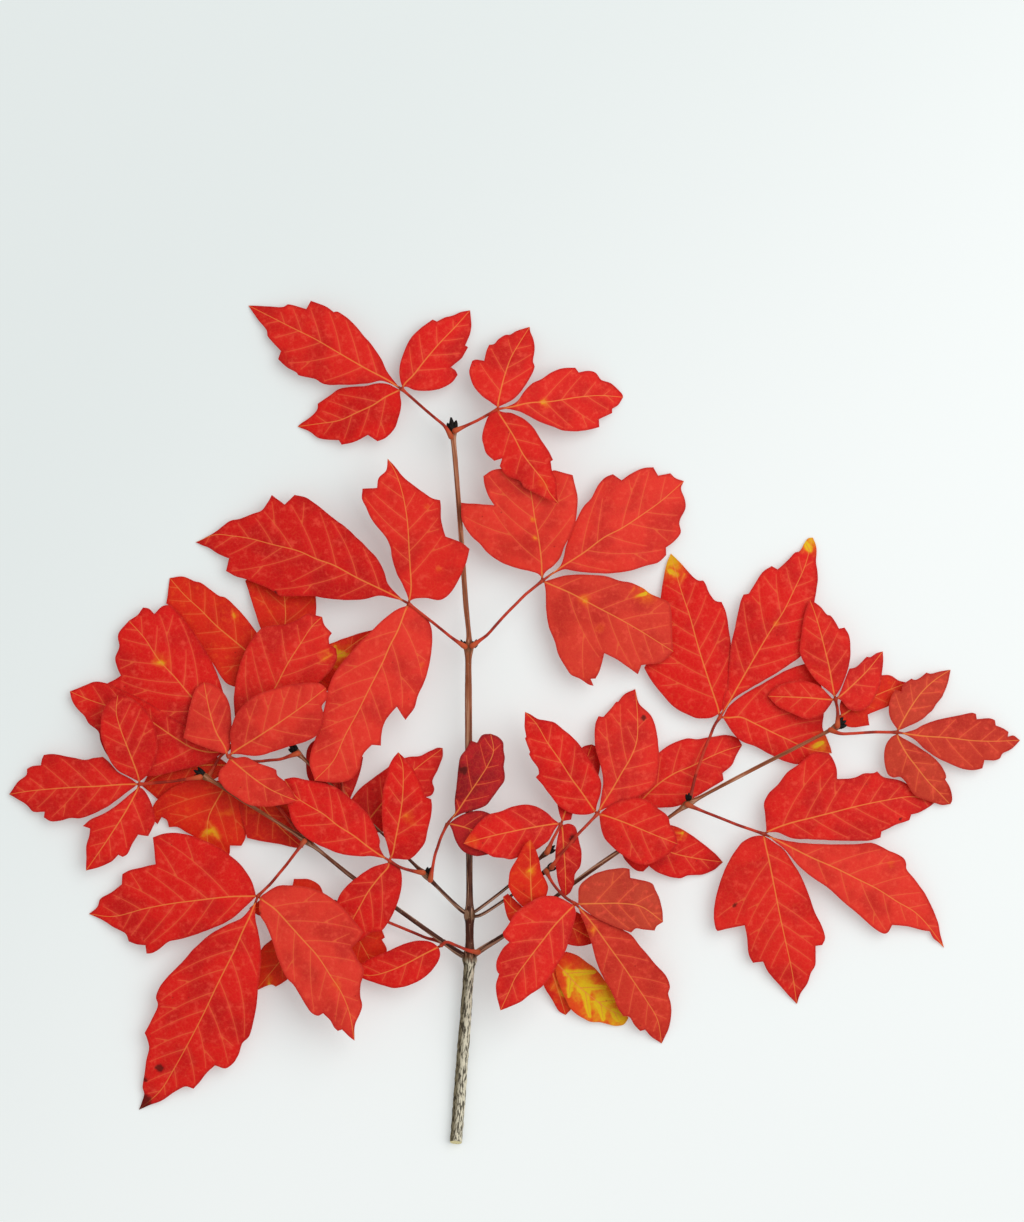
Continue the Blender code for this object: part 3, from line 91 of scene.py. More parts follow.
# Side veins: how they leave the rib, curve on and stop short of the margin. A draw is even between its
# two ends. VEIN_LEAN is the share of the vein angle at the base and what it loses by the tip.
# SPACING_SHARE is the least share of the vein spacing and what a long leaflet adds. FIRST_VEIN is where
# the first vein leaves on either side, in spacings.
VEIN_STEP = 1.1
VEIN_STEPS = 60
VEIN_CURL = math.radians(0.85)
CURL_DRAW = (0.5, 1.4)
VEIN_LEAN = (1.08, 0.3)
VEIN_STRAY = 0.06
VEIN_GAP = 0.9
VEIN_CLEAR = 2.0
LEAST_VEIN = 4
FIRST_VEIN = {-1: 1.1, 1: 0.7}
SPACING_SHARE = (0.72, 0.28)
SPACING_DRAW = (0.85, 1.15)
LONG_LEAFLET = 70.0
BRANCH_FROM = 13.0
BRANCH_ANGLE = math.radians(34)
BRANCH_DRAW = (0.5, 0.65)
# Half the width of a rib and of a side vein, at its start and at its end, and FAR where none is near.
RIB_WIDTH = (0.25, 0.1)
VEIN_WIDTH = (0.16, 0.07)
FAR = 99.0

# Relief of the blade's two faces: tissue that swells between the veins, and ribs and veins that are
# sunk above and stand out below, the rib less so at its tip. The blade thins to its margin.
QUILT = 0.14
QUILT_REACH = 2.6
RIB_SUNK = 0.16
RIB_KEEL = 0.42
RIB_SPREAD = 0.45
KEEL_TAPER = 0.7
VEIN_SUNK = 0.08
VEIN_KEEL = 0.12
VEIN_SPREAD = 0.3
MARGIN_REACH = 0.6
MARGIN_SHARE = 0.6
WAVE_LENGTHS = (9.0, 14.0, 23.0)
WAVE_REACH = 9.0

# Leaf stalks: how far they sink into the twig, and their swellings at the foot and at the hub, as height
# and reach. A leaflet's own short stalk tapers between two radii, lies a little below the blade and runs
# under the first points of the rib. HEIGHT_STEP is how finely the twig is searched for a stalk's seat.
TUBE_STEP = 0.6
HEIGHT_STEP = 0.5
SEAT_DEPTH = 0.8
STALK_WAIST = 0.92
FOOT_SWELL = (0.5, 3.6)
HUB_SWELL = (0.2, 1.3)
STALK_SIDES = 12
LEAFLET_STALK = (0.5, 0.3)
LEAFLET_STALK_DROP = 0.38
LEAFLET_STALK_POINTS = 4
LEAFLET_STALK_SIDES = 10
# An edge that turns more than this is shaded sharp.
SHARP_EDGE = math.radians(50)

# Gold and brown spots: a wide one is stronger, so that it also fills the tissue between veins.
SPOT_REACH = 3.0
SPOT_STRENGTH = (0.9, 1.7)

# The twig's lengths: x, y, height and radius of each point.
STEM = (
    (-20.8, -147.9, 1.94, 2.1), (-20.2, -140.4, 1.94, 2.1), (-19.6, -132.9, 1.94, 2.1),
    (-18.7, -120.4, 2.7, 2.05), (-17.7, -107.9, 3.8, 2.0), (-16.8, -95.4, 5.2, 1.9),
    (-16.1, -86.0, 6.6, 1.9), (-15.9, -82.3, 7.2, 2.5), (-15.9, -78.0, 7.6, 1.6),
    (-15.9, -70.0, 8.2, 1.55), (-15.9, -67.0, 8.4, 2.0), (-15.9, -63.0, 8.6, 1.35),
    (-16.1, -30.0, 9.2, 1.3), (-16.3, 10.0, 9.6, 1.25), (-16.3, 23.0, 9.8, 1.2),
    (-16.2, 26.5, 9.9, 1.75), (-16.1, 30.0, 9.9, 1.0), (-17.2, 41.8, 9.9, 0.95),
    (-18.6, 62.0, 9.8, 0.9), (-20.9, 92.0, 9.5, 0.9), (-21.6, 99.5, 9.4, 1.0),
    (-21.8, 102.2, 9.4, 1.45), (-22.1, 104.5, 9.4, 1.1), (-22.4, 107.2, 9.4, 0.3),
)
LEFT_LOW = (
    (-15.9, -82.3, 7.2, 1.1), (-19.6, -80.4, 7.4, 1.1), (-24.8, -76.7, 7.8, 0.9),
    (-42.0, -64.3, 8.8, 0.8), (-56.4, -54.1, 9.4, 0.8), (-70.0, -43.2, 9.7, 0.8),
    (-73.0, -41.0, 9.7, 1.35), (-76.5, -38.7, 9.7, 0.75), (-95.8, -26.6, 9.2, 0.7),
    (-106.0, -20.0, 8.9, 0.8), (-108.9, -18.4, 8.8, 1.3), (-112.2, -16.4, 8.8, 0.3),
)
LEFT_HIGH = (
    (-15.9, -67.0, 8.4, 0.8), (-18.5, -65.5, 8.6, 0.8), (-28.5, -55.8, 9.6, 0.75),
    (-31.2, -53.0, 9.8, 1.3), (-34.0, -50.4, 9.8, 0.7), (-55.5, -29.8, 10.0, 0.65),
    (-58.0, -27.5, 10.0, 1.0), (-60.5, -25.0, 10.0, 0.6), (-74.0, -12.2, 9.8, 0.7),
    (-76.5, -9.8, 9.8, 1.2), (-79.0, -7.4, 9.8, 0.3),
)
RIGHT_LOW = (
    (-15.9, -82.3, 7.2, 1.1), (-12.7, -79.8, 7.6, 1.1), (-4.0, -74.2, 8.6, 0.9),
    (2.3, -69.5, 9.2, 0.85), (5.0, -67.5, 9.4, 1.3), (7.8, -65.4, 9.6, 0.85),
    (29.6, -49.2, 10.4, 0.85), (41.0, -41.6, 10.6, 0.85), (43.8, -39.8, 10.6, 1.2),
    (46.6, -37.9, 10.6, 0.8), (57.6, -30.1, 10.8, 0.8), (60.6, -28.0, 10.8, 1.4),
    (63.8, -26.3, 10.8, 0.75), (78.8, -18.3, 10.8, 0.7), (95.0, -10.0, 10.4, 0.7),
    (110.0, -2.4, 10.0, 0.75), (112.7, -0.9, 10.0, 1.3), (115.6, 0.9, 10.0, 0.3),
)
RIGHT_HIGH = (
    (-15.9, -67.0, 8.4, 0.6), (-13.4, -65.4, 8.6, 0.6), (-2.8, -57.3, 9.4, 0.55),
    (8.6, -47.2, 10.0, 0.6), (11.2, -45.0, 10.0, 1.1), (13.6, -42.9, 10.0, 0.3),
)
RIGHT_INNER = (
    (-15.9, -67.0, 8.4, 0.6), (-13.2, -67.4, 8.6, 0.6), (-4.0, -62.0, 9.2, 0.55),
    (8.6, -53.2, 9.8, 0.6), (11.8, -50.9, 9.8, 1.1), (13.8, -49.5, 9.8, 0.3),
)
TWIG = (STEM, LEFT_LOW, LEFT_HIGH, RIGHT_LOW, RIGHT_HIGH, RIGHT_INNER)

# Dark winter buds in the forks: x, y, height, then the point's x, y and height.
BUDS = (
    (-17.9, 26.8, 10.1, -18.9, 29.4, 10.7), (-14.5, 26.8, 10.1, -13.5, 29.4, 10.7),
    (-72.2, -40.8, 10.2, -71.0, -38.6, 11.2), (-30.8, -52.4, 9.9, -29.6, -50.6, 10.6),
    (60.6, -26.8, 11.4, 60.8, -24.2, 12.3),
)
BUD_RADIUS = 0.72
BUD_HEIGHT = 2.3
BUD_DRAW = (0.9, 1.1)
BUD_RINGS = 9
BUD_SIDES = 10
TIP_GROWN = 1.14
# A bud's scales: how far each leans aside and upwards, and its share of the height.
BUD_SCALES = ((0.0, 0.2, 1.25), (-0.3, 0.1, 0.95), (0.3, 0.1, 0.95), (-0.15, 0.35, 0.7), (0.2, 0.35, 0.6))
SCALE_SPREAD = 1.6
SCALE_POINT = 0.03

# The old wood ends at the lowest fork, and the wood beyond it is younger towards the tips. Ages run
# from 0 to 1, and bark turns from smooth to old between the two OLD_AGES.
OLD_FORK = Vector((-15.9, -82.3, 7.2))
FORK_FADE = (2, -3)
YOUNG_AGE = 0.84
YOUNG_REACH = 225.0
YOUNG_CURVE = 1.2
OLD_AGES = (0.8, 0.95)

# The twig's surface: the sides of the stem and of a branch, how uneven smooth bark, old bark and a knot
# are, and how fast that changes round the wood and along it. A knot is thicker than its neighbours by
# KNOT_RISE. TIP_FADE is where a length darkens, before and beyond the base of its end bud.
BARK_SIDES = {True: 28, False: 16}
LEAST_RADIUS = 0.25
SMOOTH_BARK = 0.03
OLD_BARK = 0.12
KNOT_BARK = 0.07
BARK_ROUND = 3
BARK_ALONG = 0.45
KNOT_RISE = 0.2
KNOT_REACH = 1.8
TIP_FADE = (0.5, -0.8)
# The sheared end: half of how far its top is cut back, and how far up the stem that eases out.
SHEAR_SLANT = 0.75
SHEAR_REACH = 5.0
# The widths of the old bark's furrows and of the young bark's streaks, which are partly painted highlight and
# painted shade.
FURROW_WIDTH = 0.5
STREAK_WIDTH = 0.8

# What the materials read at each point of a leaf and of the twig.
LEAF_MARKS = ("rib", "vein", "margin", "gold", "brown", "tone", "dull", "under", "knot")
BARK_MARKS = ("age", "knot", "tip", "side", "over", "along")

# The photograph's frame on the table, in metres: its height, the point at its middle, and how high the
# leaves lie that are seen at that scale. SENSOR is in millimetres.
VIEW_HEIGHT = 0.4277
VIEW_CENTRE = (-0.00105, 0.0394)
LEAF_HEIGHT = 0.009
SENSOR = 36
VIEW_END = 20
# The table, which lies just below the twig, and the soft light, in metres.
TABLE_REACH = 3.0
TABLE_DROP = 0.0001
KEY_PLACE = Vector((0.9, 0.5, 1.5))
KEY_SIZE = (2.0, 1.6)

# Each leaf: its hub, its stalk from the twig to the hub, and for each leaflet the midrib and the two
# margins, from the base to the tip.
LEAVES = {
    "leaf_west_inner": dict(
        hub="-84,17", stalk="-77.8,-8.6 -81.5,4",
        blades=(
            ("-90,22 -98.5,29 -105,34.5 -110.5,40 -116,45 -121.3,51",
             "-89,14 -95,12.5 -101,14 -106,21 -111,28 -115,34 -119.5,40 -122.5,42 -122,45",
             "-86,22 -88,28 -91,32.5 -94,36.5 -98,41 -102,44.3 -103.5,44.6 -107,47 -110.3,49.4 "
             "-112.5,49.9 -116.5,51.5"),
            ("-82.5,24 -80.5,36.5 -81,45 -82.5,57",
             "-85.5,24 -88.5,31 -91.5,40 -94.7,50 -90,54",
             "-79.5,23 -74,28 -70.5,34 -69.8,43 -71,48 -77,53"),
            ("-78,18 -70,20 -62,24 -55,29 -49,33",
             "-79,21 -73,25 -66,27.5 -60,29.8 -55,31.5",
             "-79,15 -72,11 -64,12 -57,17 -51,25"),
        )),
    "leaf_west_lower": dict(
        hub="-99,-15", stalk="-74.6,-39.9 -84,-28 -92,-19",
        blades=(
            ("-103,-14.6 -110,-14.8 -117,-16 -124,-18 -131,-22",
             "-103,-18 -110,-22 -118,-25.5 -125,-27",
             "-104,-12 -112,-9.5 -120,-11 -127,-15.5"),
            ("-100.5,-20 -104,-26 -107.5,-33 -108,-40 -107,-47",
             "-97.5,-23 -94.8,-29 -94,-35 -94.6,-40.3 -96,-43 -100,-43 -100.3,-46 -103,-48",
             "-104,-20 -110,-19.5 -117,-21 -123,-24.5 -127,-29 -127.5,-33.5 -125.5,-35.5 -124,-33 "
             "-122.3,-34 -121.5,-36.5 -118.5,-36.5 -115,-38.5 -112.5,-40 -110,-44"),
            ("-96,-19 -91,-25.5 -85.5,-33 -80,-39 -74.5,-43.8",
             "-93,-19 -87,-22.5 -81,-27 -76.5,-32 -74,-38",
             "-97.3,-24 -96.5,-31 -94.8,-37 -94,-40.3 -88,-41.6 -82,-42.6 -77,-43.8"),
        )),
    "leaf_west_upper": dict(
        hub="-97,-6", stalk="-107.6,-19 -103.6,-12",
        blades=(
            ("-91,2 -84,12.5 -79.5,21 -75,28 -71,34 -67.5,37.3",
             "-97.5,0 -98.5,8 -97.5,16 -95.5,23 -92,29.5 -88.5,33.5 -84,34.5 -80,34.8 -76,36.5 "
             "-72.5,38.5 -70,38",
             "-92,-3.5 -86,-1 -78,4 -72,10 -67.5,15.5 -64.5,18.5 -62.3,22.5 -62.5,26.3 -65,27.5 -65,30 "
             "-64,31.7 -66.8,34.8"),
            ("-102,-2 -108,4 -113.5,9.5 -119,16 -125,22.5 -130,30 -135.5,36",
             "-103,-7 -110,-5.5 -118,-4 -124,0 -128.5,5 -132.5,8.3 -136,8.8 -141,11.5 -143,14 "
             "-140.5,15.3 -138.2,16.8 -139.5,19.5 -140.2,23 -138.8,27 -139.3,31",
             "-100,0 -101.5,8 -103.5,15 -106,21 -109.5,27 -113,32.5 -117,37.5 -120.8,41.5 -123.5,41.2 "
             "-126.5,38.4 -128.5,40.3 -130.5,40.7 -132.5,38"),
            ("-104,-10 -112,-9 -118.7,-5.3 -125,-1 -131,3 -144,6.5 -150,8.5 -156.2,11.2",
             "-107,-13.5 -118,-16.5 -128,-18.5 -137,-17 -142.5,-12 -145.5,-6 -146,-3 -149.5,0 -151,2.5 "
             "-153.5,5 -155.7,8.5",
             "-106,-7 -112,-3 -120,2 -128,7 -136,11 -143,14 -147.5,14.6 -151,13.3"),
        )),
    "leaf_left_middle": dict(
        hub="-56,-37", stalk="-53.6,-31.8 -54.6,-34.6",
        blades=(
            ("-53,-35.5 -47,-28.5 -40,-20.5 -33,-14.5 -25.4,-8.8",
             "-56.5,-33 -57.8,-27 -54,-22.5 -50,-19.4 -45,-15.8 -41,-13.2 -37.5,-11.8 -33.5,-11.5 "
             "-30,-9.8 -27.2,-8.6",
             "-52,-38 -46,-38 -40,-34.5 -35,-30 -32.5,-26.5 -29.3,-25.2 -28.3,-23 -29,-20.5 -27,-16 "
             "-25.5,-12"),
        )),
    "leaf_left_inner": dict(
        hub="-63.5,-3", stalk="-59.8,-25.7 -61.8,-14",
        blades=(
            ("-63.8,-7 -63.5,-14 -61,-21 -57.8,-26.5",
             "-61.5,-5 -56.5,-8 -53.2,-12 -54.5,-18 -56.3,-23",
             "-67,-4.5 -71,-6.5 -73,-9.5 -73.2,-14 -72.4,-19.5 -68,-23.5 -62,-26.5"),
        )),
    "leaf_left_under": dict(
        hub="-63.5,-62.5", stalk="-25,-76.6 -31,-75.2 -45,-69.5 -56,-65",
        blades=(
            ("-67,-66 -74,-74 -82,-83 -91,-94",
             "-65,-68 -70,-78 -76,-86 -80,-90 -84,-92.5 -85.5,-91.8",
             "-70.5,-65.5 -78,-69 -85,-75.5 -88.8,-79 -91,-86"),
            ("-68,-62.5 -76,-63 -84,-64 -93.4,-65",
             "-69,-66 -77,-69 -85,-70.5 -88.5,-68.2 -91,-67",
             "-67,-60 -68.5,-57 -72,-54.8 -77.6,-54.6 -78,-56.8 -84,-59 -89.5,-62"),
            ("-61.5,-66 -56.5,-73 -52,-81 -49,-87",
             "-59.5,-65 -55,-68.5 -50.5,-70.8 -47.2,-71.2 -45.6,-75.2 -46.7,-76 -45,-79.6 -46.5,-84",
             "-63,-69 -62,-76 -57.5,-84"),
        )),
    "leaf_low_yellow": dict(
        hub="13,-82.5", stalk="5,-67.6 8.6,-75",
        blades=(
            ("16,-85.5 22,-92 27.5,-96.5 33,-100.5 39.8,-103.5",
             "15.5,-81.5 18,-80 21.5,-81.2 25.5,-84 28.5,-86.3 31,-89.5 34.5,-95 38,-100.5",
             "14.6,-89 17,-95 19.8,-100.5 23,-103 26.5,-104.8 30,-105 35,-106.3 38.2,-105.8"),
            ("13,-86.5 14.6,-92 16.3,-97.5 17.8,-102.5",
             "15,-87.5 17.5,-93 19.7,-100.5",
             "11,-85.5 9.3,-89 10.5,-93 13,-97 15.5,-101.2"),
        )),
    "leaf_right_under": dict(
        hub="40,-33", stalk="43.5,-39.5 41.5,-36.5",
        blades=(
            ("42.5,-36.5 47,-41 54,-45 63,-47.3 73,-48.8",
             "44.5,-35 50,-34.8 56,-36 61,-38.6 65,-41.5 70,-45.5",
             "39,-38 37.5,-45.5 40,-49.5 43,-51.8 45,-52 47,-50 49.5,-52 53,-53.5 58,-54.4 60.5,-53.5 "
             "66,-53.1 70,-51.4"),
            ("43.5,-28 50,-21.5 56,-17.5 62,-15 68,-12 74,-9.5 79.8,-7.8",
             "41,-26 43.5,-19 48,-13 51,-9.8 55,-7.2 60.2,-5.3 64,-5.5 67.5,-5 74.5,-4.2 78.2,-5.2",
             "46,-29 51,-29.6 57,-29 63,-26 69,-22.5 73.2,-20 72.8,-17.6 76.4,-14.4 77.5,-11.7"),
        )),
    "leaf_far_single": dict(
        hub="113.6,2.2", stalk="112.8,-0.9 113.2,0.6",
        blades=(
            ("116,3.6 121,7 129,10.8 138,14.2",
             "114,7 117,12 122,15.5 129,16.9 132,16.7 135,14.9",
             "114.5,-0.6 118,-1.4 124.3,-0.7 123.7,3 128,4.8 132,6.5 136,10.5"),
        )),
    "leaf_right_tall": dict(
        hub="71.9,2.2", stalk="60.9,-27.8 63.3,-18 66.5,-9 70,-0.6",
        blades=(
            ("71,6 69.3,11 67,18 64.2,27 61.2,38 58.5,46 56.2,54 54.8,59.6",
             "69,2 63.8,1.8 60,3.3 56,5.6 50.3,11.7 47.5,15.5 45.3,19.4 48,25 50,31 50.7,38 51.2,45 "
             "52.2,51 53.2,55.8",
             "73.2,6 75,12 76,20 75.8,27 75,33 74,39 72.5,42.6 70.3,42.9 68.3,45.5 66.8,49 66,50.1 "
             "64.3,50.1 61.5,52.5 58,56.5"),
            ("74.5,6.5 79,14.5 84.5,24 89,31.5 94,39 98,47 101.7,55 104.6,65.2",
             "72.8,8 74.5,14 75,20 75.8,28 77,33 78,38 79,42.5 80.2,45.2 82,45.5 84.5,49.5 87,53.2 "
             "90,55.2 92.2,54 95.5,57 98.5,60 99.7,60.3 101.5,63 103,65",
             "76.5,8.5 82,12 89,16 96,20.5 100.5,24 103,30 104.5,37 105.3,44 106.3,51 105.7,57 105.8,62"),
            ("75,2 79,2.2 84,0 90,-3 96,-5.8 103,-9 111.3,-10.5",
             "75,6 80,10 87,14 95.5,18.8 102,21 106,17 108,11 108.5,4 108,-1.5 109.5,-5 110.7,-8",
             "74,0.3 76.5,-3.5 79.5,-6.3 84,-8 90,-11.2 95,-13.5 99.5,-14.3 103,-12.5 107.5,-10.5"),
        )),
    "leaf_low_single": dict(
        hub="-26,-77.8", stalk="-12.9,-80 -16,-79.4 -20.5,-77.6 -24,-76.4",
        blades=(
            ("-28.5,-79 -33,-81.3 -38,-84 -44,-86.6 -50,-88.2 -57,-87.5",
             "-26.2,-81 -28,-85 -32,-89 -37,-91.6 -42,-92.6 -47,-91.5 -52,-89.8",
             "-29,-76.5 -33.5,-75.9 -38.5,-77 -44,-79.4 -50,-82 -55,-84.8"),
        )),
    "leaf_left_cross": dict(
        hub="-44,-47.9", stalk="-32.2,-52.1 -36,-51.4 -40,-50.2",
        blades=(
            ("-44.3,-50 -47.5,-53.7 -51.5,-59 -54,-63.5 -57,-69 -60.5,-77",
             "-41.8,-49 -40,-51 -39.5,-55 -40.3,-60 -42,-65 -44.3,-69.5 -46.8,-72.5 -50,-73 -55,-76.5",
             "-46,-49 -50,-50.2 -54,-52.8 -57.5,-55.5 -61.3,-59.8 -63,-65 -63,-71"),
            ("-42.8,-45.5 -41.7,-40 -40.3,-33 -39.4,-27 -39,-20 -39.3,-14 -40.8,-9.8",
             "-44.5,-43 -46,-38 -46.5,-30 -46,-23 -44.6,-18 -44,-15 -42.5,-12",
             "-41,-47.3 -37,-47.4 -34,-45 -31.5,-41.5 -30.5,-37 -29.5,-33 -29,-29 -29.3,-26.3 "
             "-31.3,-25.5 -32.5,-22 -34.5,-17.5 -36.5,-14 -38.5,-12"),
            ("-48,-45.4 -52,-42.5 -56.5,-39 -62,-35.5 -67,-31.5 -72.5,-28.3 -76.5,-25.5 -80.6,-19.4",
             "-50,-46.3 -54,-46.4 -58,-46 -62,-45.2 -65.5,-43.7 -69.5,-42 -74,-39 -77.5,-35 -79,-30.5 "
             "-80.3,-25",
             "-47.3,-43 -47.2,-41 -49,-36 -52,-31 -57.5,-26 -63,-22 -69,-20.3 -73.5,-19.5 -77,-18.7"),
        )),
    "leaf_low_left": dict(
        hub="-90,-60.4", stalk="-73.6,-41 -80,-49.4 -85.5,-56",
        blades=(
            ("-92,-60.4 -100,-60.6 -112,-62 -121,-63.2 -130,-65 -141,-67.8 -149.6,-67",
             "-94,-63.8 -97.5,-67 -101,-69.5 -106,-71.7 -110.5,-73.5 -116,-75.3 -121.5,-76.6 -125,-79.4 "
             "-127.5,-80.6 -129.3,-80.7 -129.6,-77.8 -132.5,-77.5 -135.5,-76.5 -136.5,-74 -141,-71.5 "
             "-145,-69",
             "-91.2,-58 -92.5,-54.5 -95.5,-50 -99.5,-46.3 -104,-43.2 -110,-40.5 -115,-38.8 -120,-38.3 "
             "-124,-38.8 -127,-40 -126.3,-45 -126,-49.3 -131,-50.5 -135,-51.5 -137.7,-53 -138,-56.5 "
             "-142,-59.5 -145.7,-61.8 -146.5,-64.3"),
            ("-92.6,-67 -95,-72 -98,-79 -100.5,-84 -104.5,-92 -109,-101.5 -115,-113 -119.5,-121 "
             "-124.5,-129 -132.2,-135.8",
             "-90.8,-68.5 -89.8,-73 -88.9,-79 -89,-85 -89.8,-92 -90.5,-99 -91.8,-105 -93.2,-109.7 "
             "-95.5,-112 -96.8,-116 -99.5,-119.8 -101.5,-121 -105.2,-119.9 -108,-122.5 -110.8,-126 "
             "-112.8,-128.2 -115.5,-127.5 -120,-129.7 -124,-132.5 -128,-134",
             "-95.5,-67.8 -101,-70.5 -107,-74 -112,-78.5 -117,-84 -121.5,-88.5 -124.5,-92.5 -125.8,-96 "
             "-125.2,-98.5 -127,-103 -129.8,-108.5 -129,-110.5 -128.3,-113.5 -129.3,-118 -130,-123 "
             "-130.7,-127.8 -130.2,-130 -131.2,-133.5"),
            ("-88,-62 -84,-64.8 -80,-69 -74.5,-75 -69,-81 -64,-88.5 -61,-93 -58,-100 -56,-110.5",
             "-87.5,-59.4 -83,-56.8 -78,-56.6 -71,-57.6 -65,-60.3 -60,-64.5 -56,-69 -52.8,-72.8 "
             "-54.5,-75.5 -57,-78.3 -55,-82 -52.8,-86 -53.8,-91 -54,-95 -53.3,-98 -54,-101 -55.8,-105 "
             "-56,-108",
             "-89.5,-64 -89.2,-67 -87.3,-70 -86,-73 -84.5,-77 -82.5,-83 -79.5,-89 -77.5,-91 -75,-95 "
             "-72.5,-99 -70.5,-101.3 -68.7,-101.9 -67,-101 -64.5,-103.5 -63,-106 -61.8,-107.2 "
             "-60.3,-106.7 -58,-109"),
        )),
    "leaf_middle_small": dict(
        hub="-23.6,-34.9", stalk="-29.6,-54.6 -28,-46 -26,-40",
        blades=(
            ("-21.8,-35.2 -17,-36.4 -11,-38.8 -4,-42",
             "-21,-33.3 -17,-31.2 -12,-30.4 -8,-32 -5,-36",
             "-22.1,-37 -20.8,-41 -18,-44.7 -14,-46.2 -10,-45.8 -6.5,-44.6"),
            ("-20,-30.5 -17.7,-27 -15,-23 -12.3,-19 -9.5,-14.5 -7.5,-9.5 -8.5,-3.5",
             "-21,-31.3 -21.1,-27 -20.3,-20 -19.8,-15 -19,-11.5 -17.2,-9 -15.4,-5.9 -13.3,-6.6 -11.5,-4",
             "-18,-31.2 -13.5,-30 -10.3,-28.7 -8,-26 -5.8,-23 -3.7,-20 -3.5,-18 -3.9,-15 -3.5,-12 "
             "-3.9,-9.5 -4.2,-6.3 -6,-4.5"),
        )),
    "leaf_centre_small": dict(
        hub="16.2,-34.9", stalk="11.2,-45 13.2,-40.5",
        blades=(
            ("14,-35 5,-36.4 -3,-38 -10,-39.6 -18,-41.8",
             "14,-37 12,-40.5 9.5,-42.6 6,-44.8 2,-46.3 -1.5,-47.4 -4,-46.9 -7.5,-46.5 -9.3,-45.6 "
             "-12,-44.2 -15.5,-43",
             "13.8,-33.6 11,-31 7.5,-29 4,-28.2 0,-28.7 -5,-30.5 -9.5,-31.8 -12.5,-34.3 -15.5,-38"),
            ("16.6,-37 17,-43 17.5,-50 17.8,-60.2",
             "19,-35 21.2,-36.2 22.2,-40 23.2,-45 22.8,-50 21,-52.5 20.6,-56 19.3,-59",
             "15.6,-37 14.6,-41 14,-47 14.4,-51.5 15.2,-56 16.8,-59.5"),
            ("17,-32.5 19,-27 22,-20 25,-13 27,-7.4",
             "15.5,-31.5 14.8,-26 17,-18 21,-11.5 24,-8.2",
             "19.6,-33.6 20.4,-31 25,-26 29,-19 30,-13 29,-8.4"),
        )),
    "leaf_low_orange": dict(
        hub="6.4,-67", stalk="4.6,-67.3 5.5,-67.1",
        blades=(
            ("6,-64 5.6,-58 5.4,-51 5.2,-40.4",
             "3.5,-64.5 0,-61 -2.2,-57 -2.2,-54 -1.4,-50.5 1,-46.5 3,-42.6",
             "8.5,-64.5 10.8,-60.5 11.6,-57 10.6,-54.2 9.2,-51.5 8.4,-47.4 7,-43.2"),
            ("3,-66.6 0.5,-65.5 -1.5,-63.8 -4.2,-60.6",
             "2.5,-69.5 -0.6,-70.2 -2.2,-68.6 -3.4,-65",
             "2.5,-63.8 -0.2,-61.5 -2.5,-59.4"),
            ("10,-67.6 16,-69.5 21.5,-72.3 28.5,-76.5",
             "10.5,-65.4 17,-64.5 23,-66.8 27,-71.5",
             "9.5,-70 13,-74.5 18.5,-77.3 22,-78 25.5,-77.6"),
        )),
    "leaf_centre_high": dict(
        hub="28.8,-31.6", stalk="12.8,-50.2 14,-48.4 16,-45.6 22,-38.6",
        blades=(
            ("27,-29.3 23,-23.5 20,-19.5 15.5,-12.5 11,-6 7.5,0 3.5,4.2",
             "25,-31.8 21,-31.6 17.5,-30.3 14.5,-27.8 11.7,-24.2 9.7,-21.5 8,-19.5 7.2,-18.5 8.3,-17.5 "
             "8,-15.5 5.5,-12 4.8,-10.5 5.2,-9.8 4.2,-7 3.5,-5 3.9,-4.5 3.3,-1",
             "28.7,-28.3 30,-24 30,-20 28,-16 25.5,-11.5 23.7,-8.8 20.5,-5 17,-2 13.5,0.6 11,1.2 8,1.8 "
             "5.5,3.3"),
            ("30.5,-28.5 34,-23 37.5,-17 40.5,-12 42.7,-6 43,2 42.3,12",
             "30,-26.5 30.8,-20 30,-15 28.3,-9 27.8,-4 28.2,0 29.3,2.5 31,2.3 33.5,5 35.5,7.6 36.2,7.6 "
             "38.5,10.2",
             "32.5,-29.2 37,-27.5 44,-25 49,-21 50.5,-15 50.3,-8 49.8,-4 49,0 47.5,3 44.5,5.8 43.5,7"),
            ("31,-32 37,-34 42,-36 48,-38.5 56.8,-42",
             "31,-30.2 36,-27.2 42,-25.8 47,-27 50,-29.5 53.5,-32.5 54.3,-35.5 56,-38",
             "29.8,-35 31,-39.5 34.5,-43.5 38.5,-46.5 42.5,-48.8 46,-49.2 49.5,-48 54,-45.3"),
        )),
    "leaf_low_centre": dict(
        hub="21.2,-62.9", stalk="10.9,-51.6 13.6,-56.2 17.6,-60.6",
        blades=(
            ("19.6,-64.3 14,-70 10,-75 5,-81.5 0,-88.5 -2.2,-93.5 -5.1,-99.7",
             "21.3,-66 20.5,-69.5 19,-75 17.4,-79.5 14.5,-84.5 12,-88.5 9,-91.8 6,-93.7 2,-96.7 -2,-98.5",
             "18.8,-62.3 15.5,-60.6 10,-60 4.5,-62.5 0,-66 -2.2,-69.6 -4.3,-72.5 -3.8,-74.2 -2,-76 "
             "-4.5,-78.5 -6.5,-83 -6.3,-86 -5.6,-87 -6.7,-91 -6.3,-95"),
            ("24,-62.8 30,-62.7 37,-62.7 44,-63.8 51.8,-69.3",
             "22,-60 22.4,-57 24.5,-54.5 28,-52.3 33,-50.8 38.5,-50.3 40,-50.7 40.3,-53.8 43,-54.3 "
             "46,-55 48.2,-56 49,-58 50.5,-61 51.6,-66",
             "24,-64.6 28,-67.5 33,-70 37.5,-71.8 40.5,-73 42.2,-71.6 45.5,-72 48.8,-72.3 49.5,-70.8"),
            ("24,-66 28,-71 33,-78 38,-85 42,-91 46,-97 50,-104 51.5,-112.5",
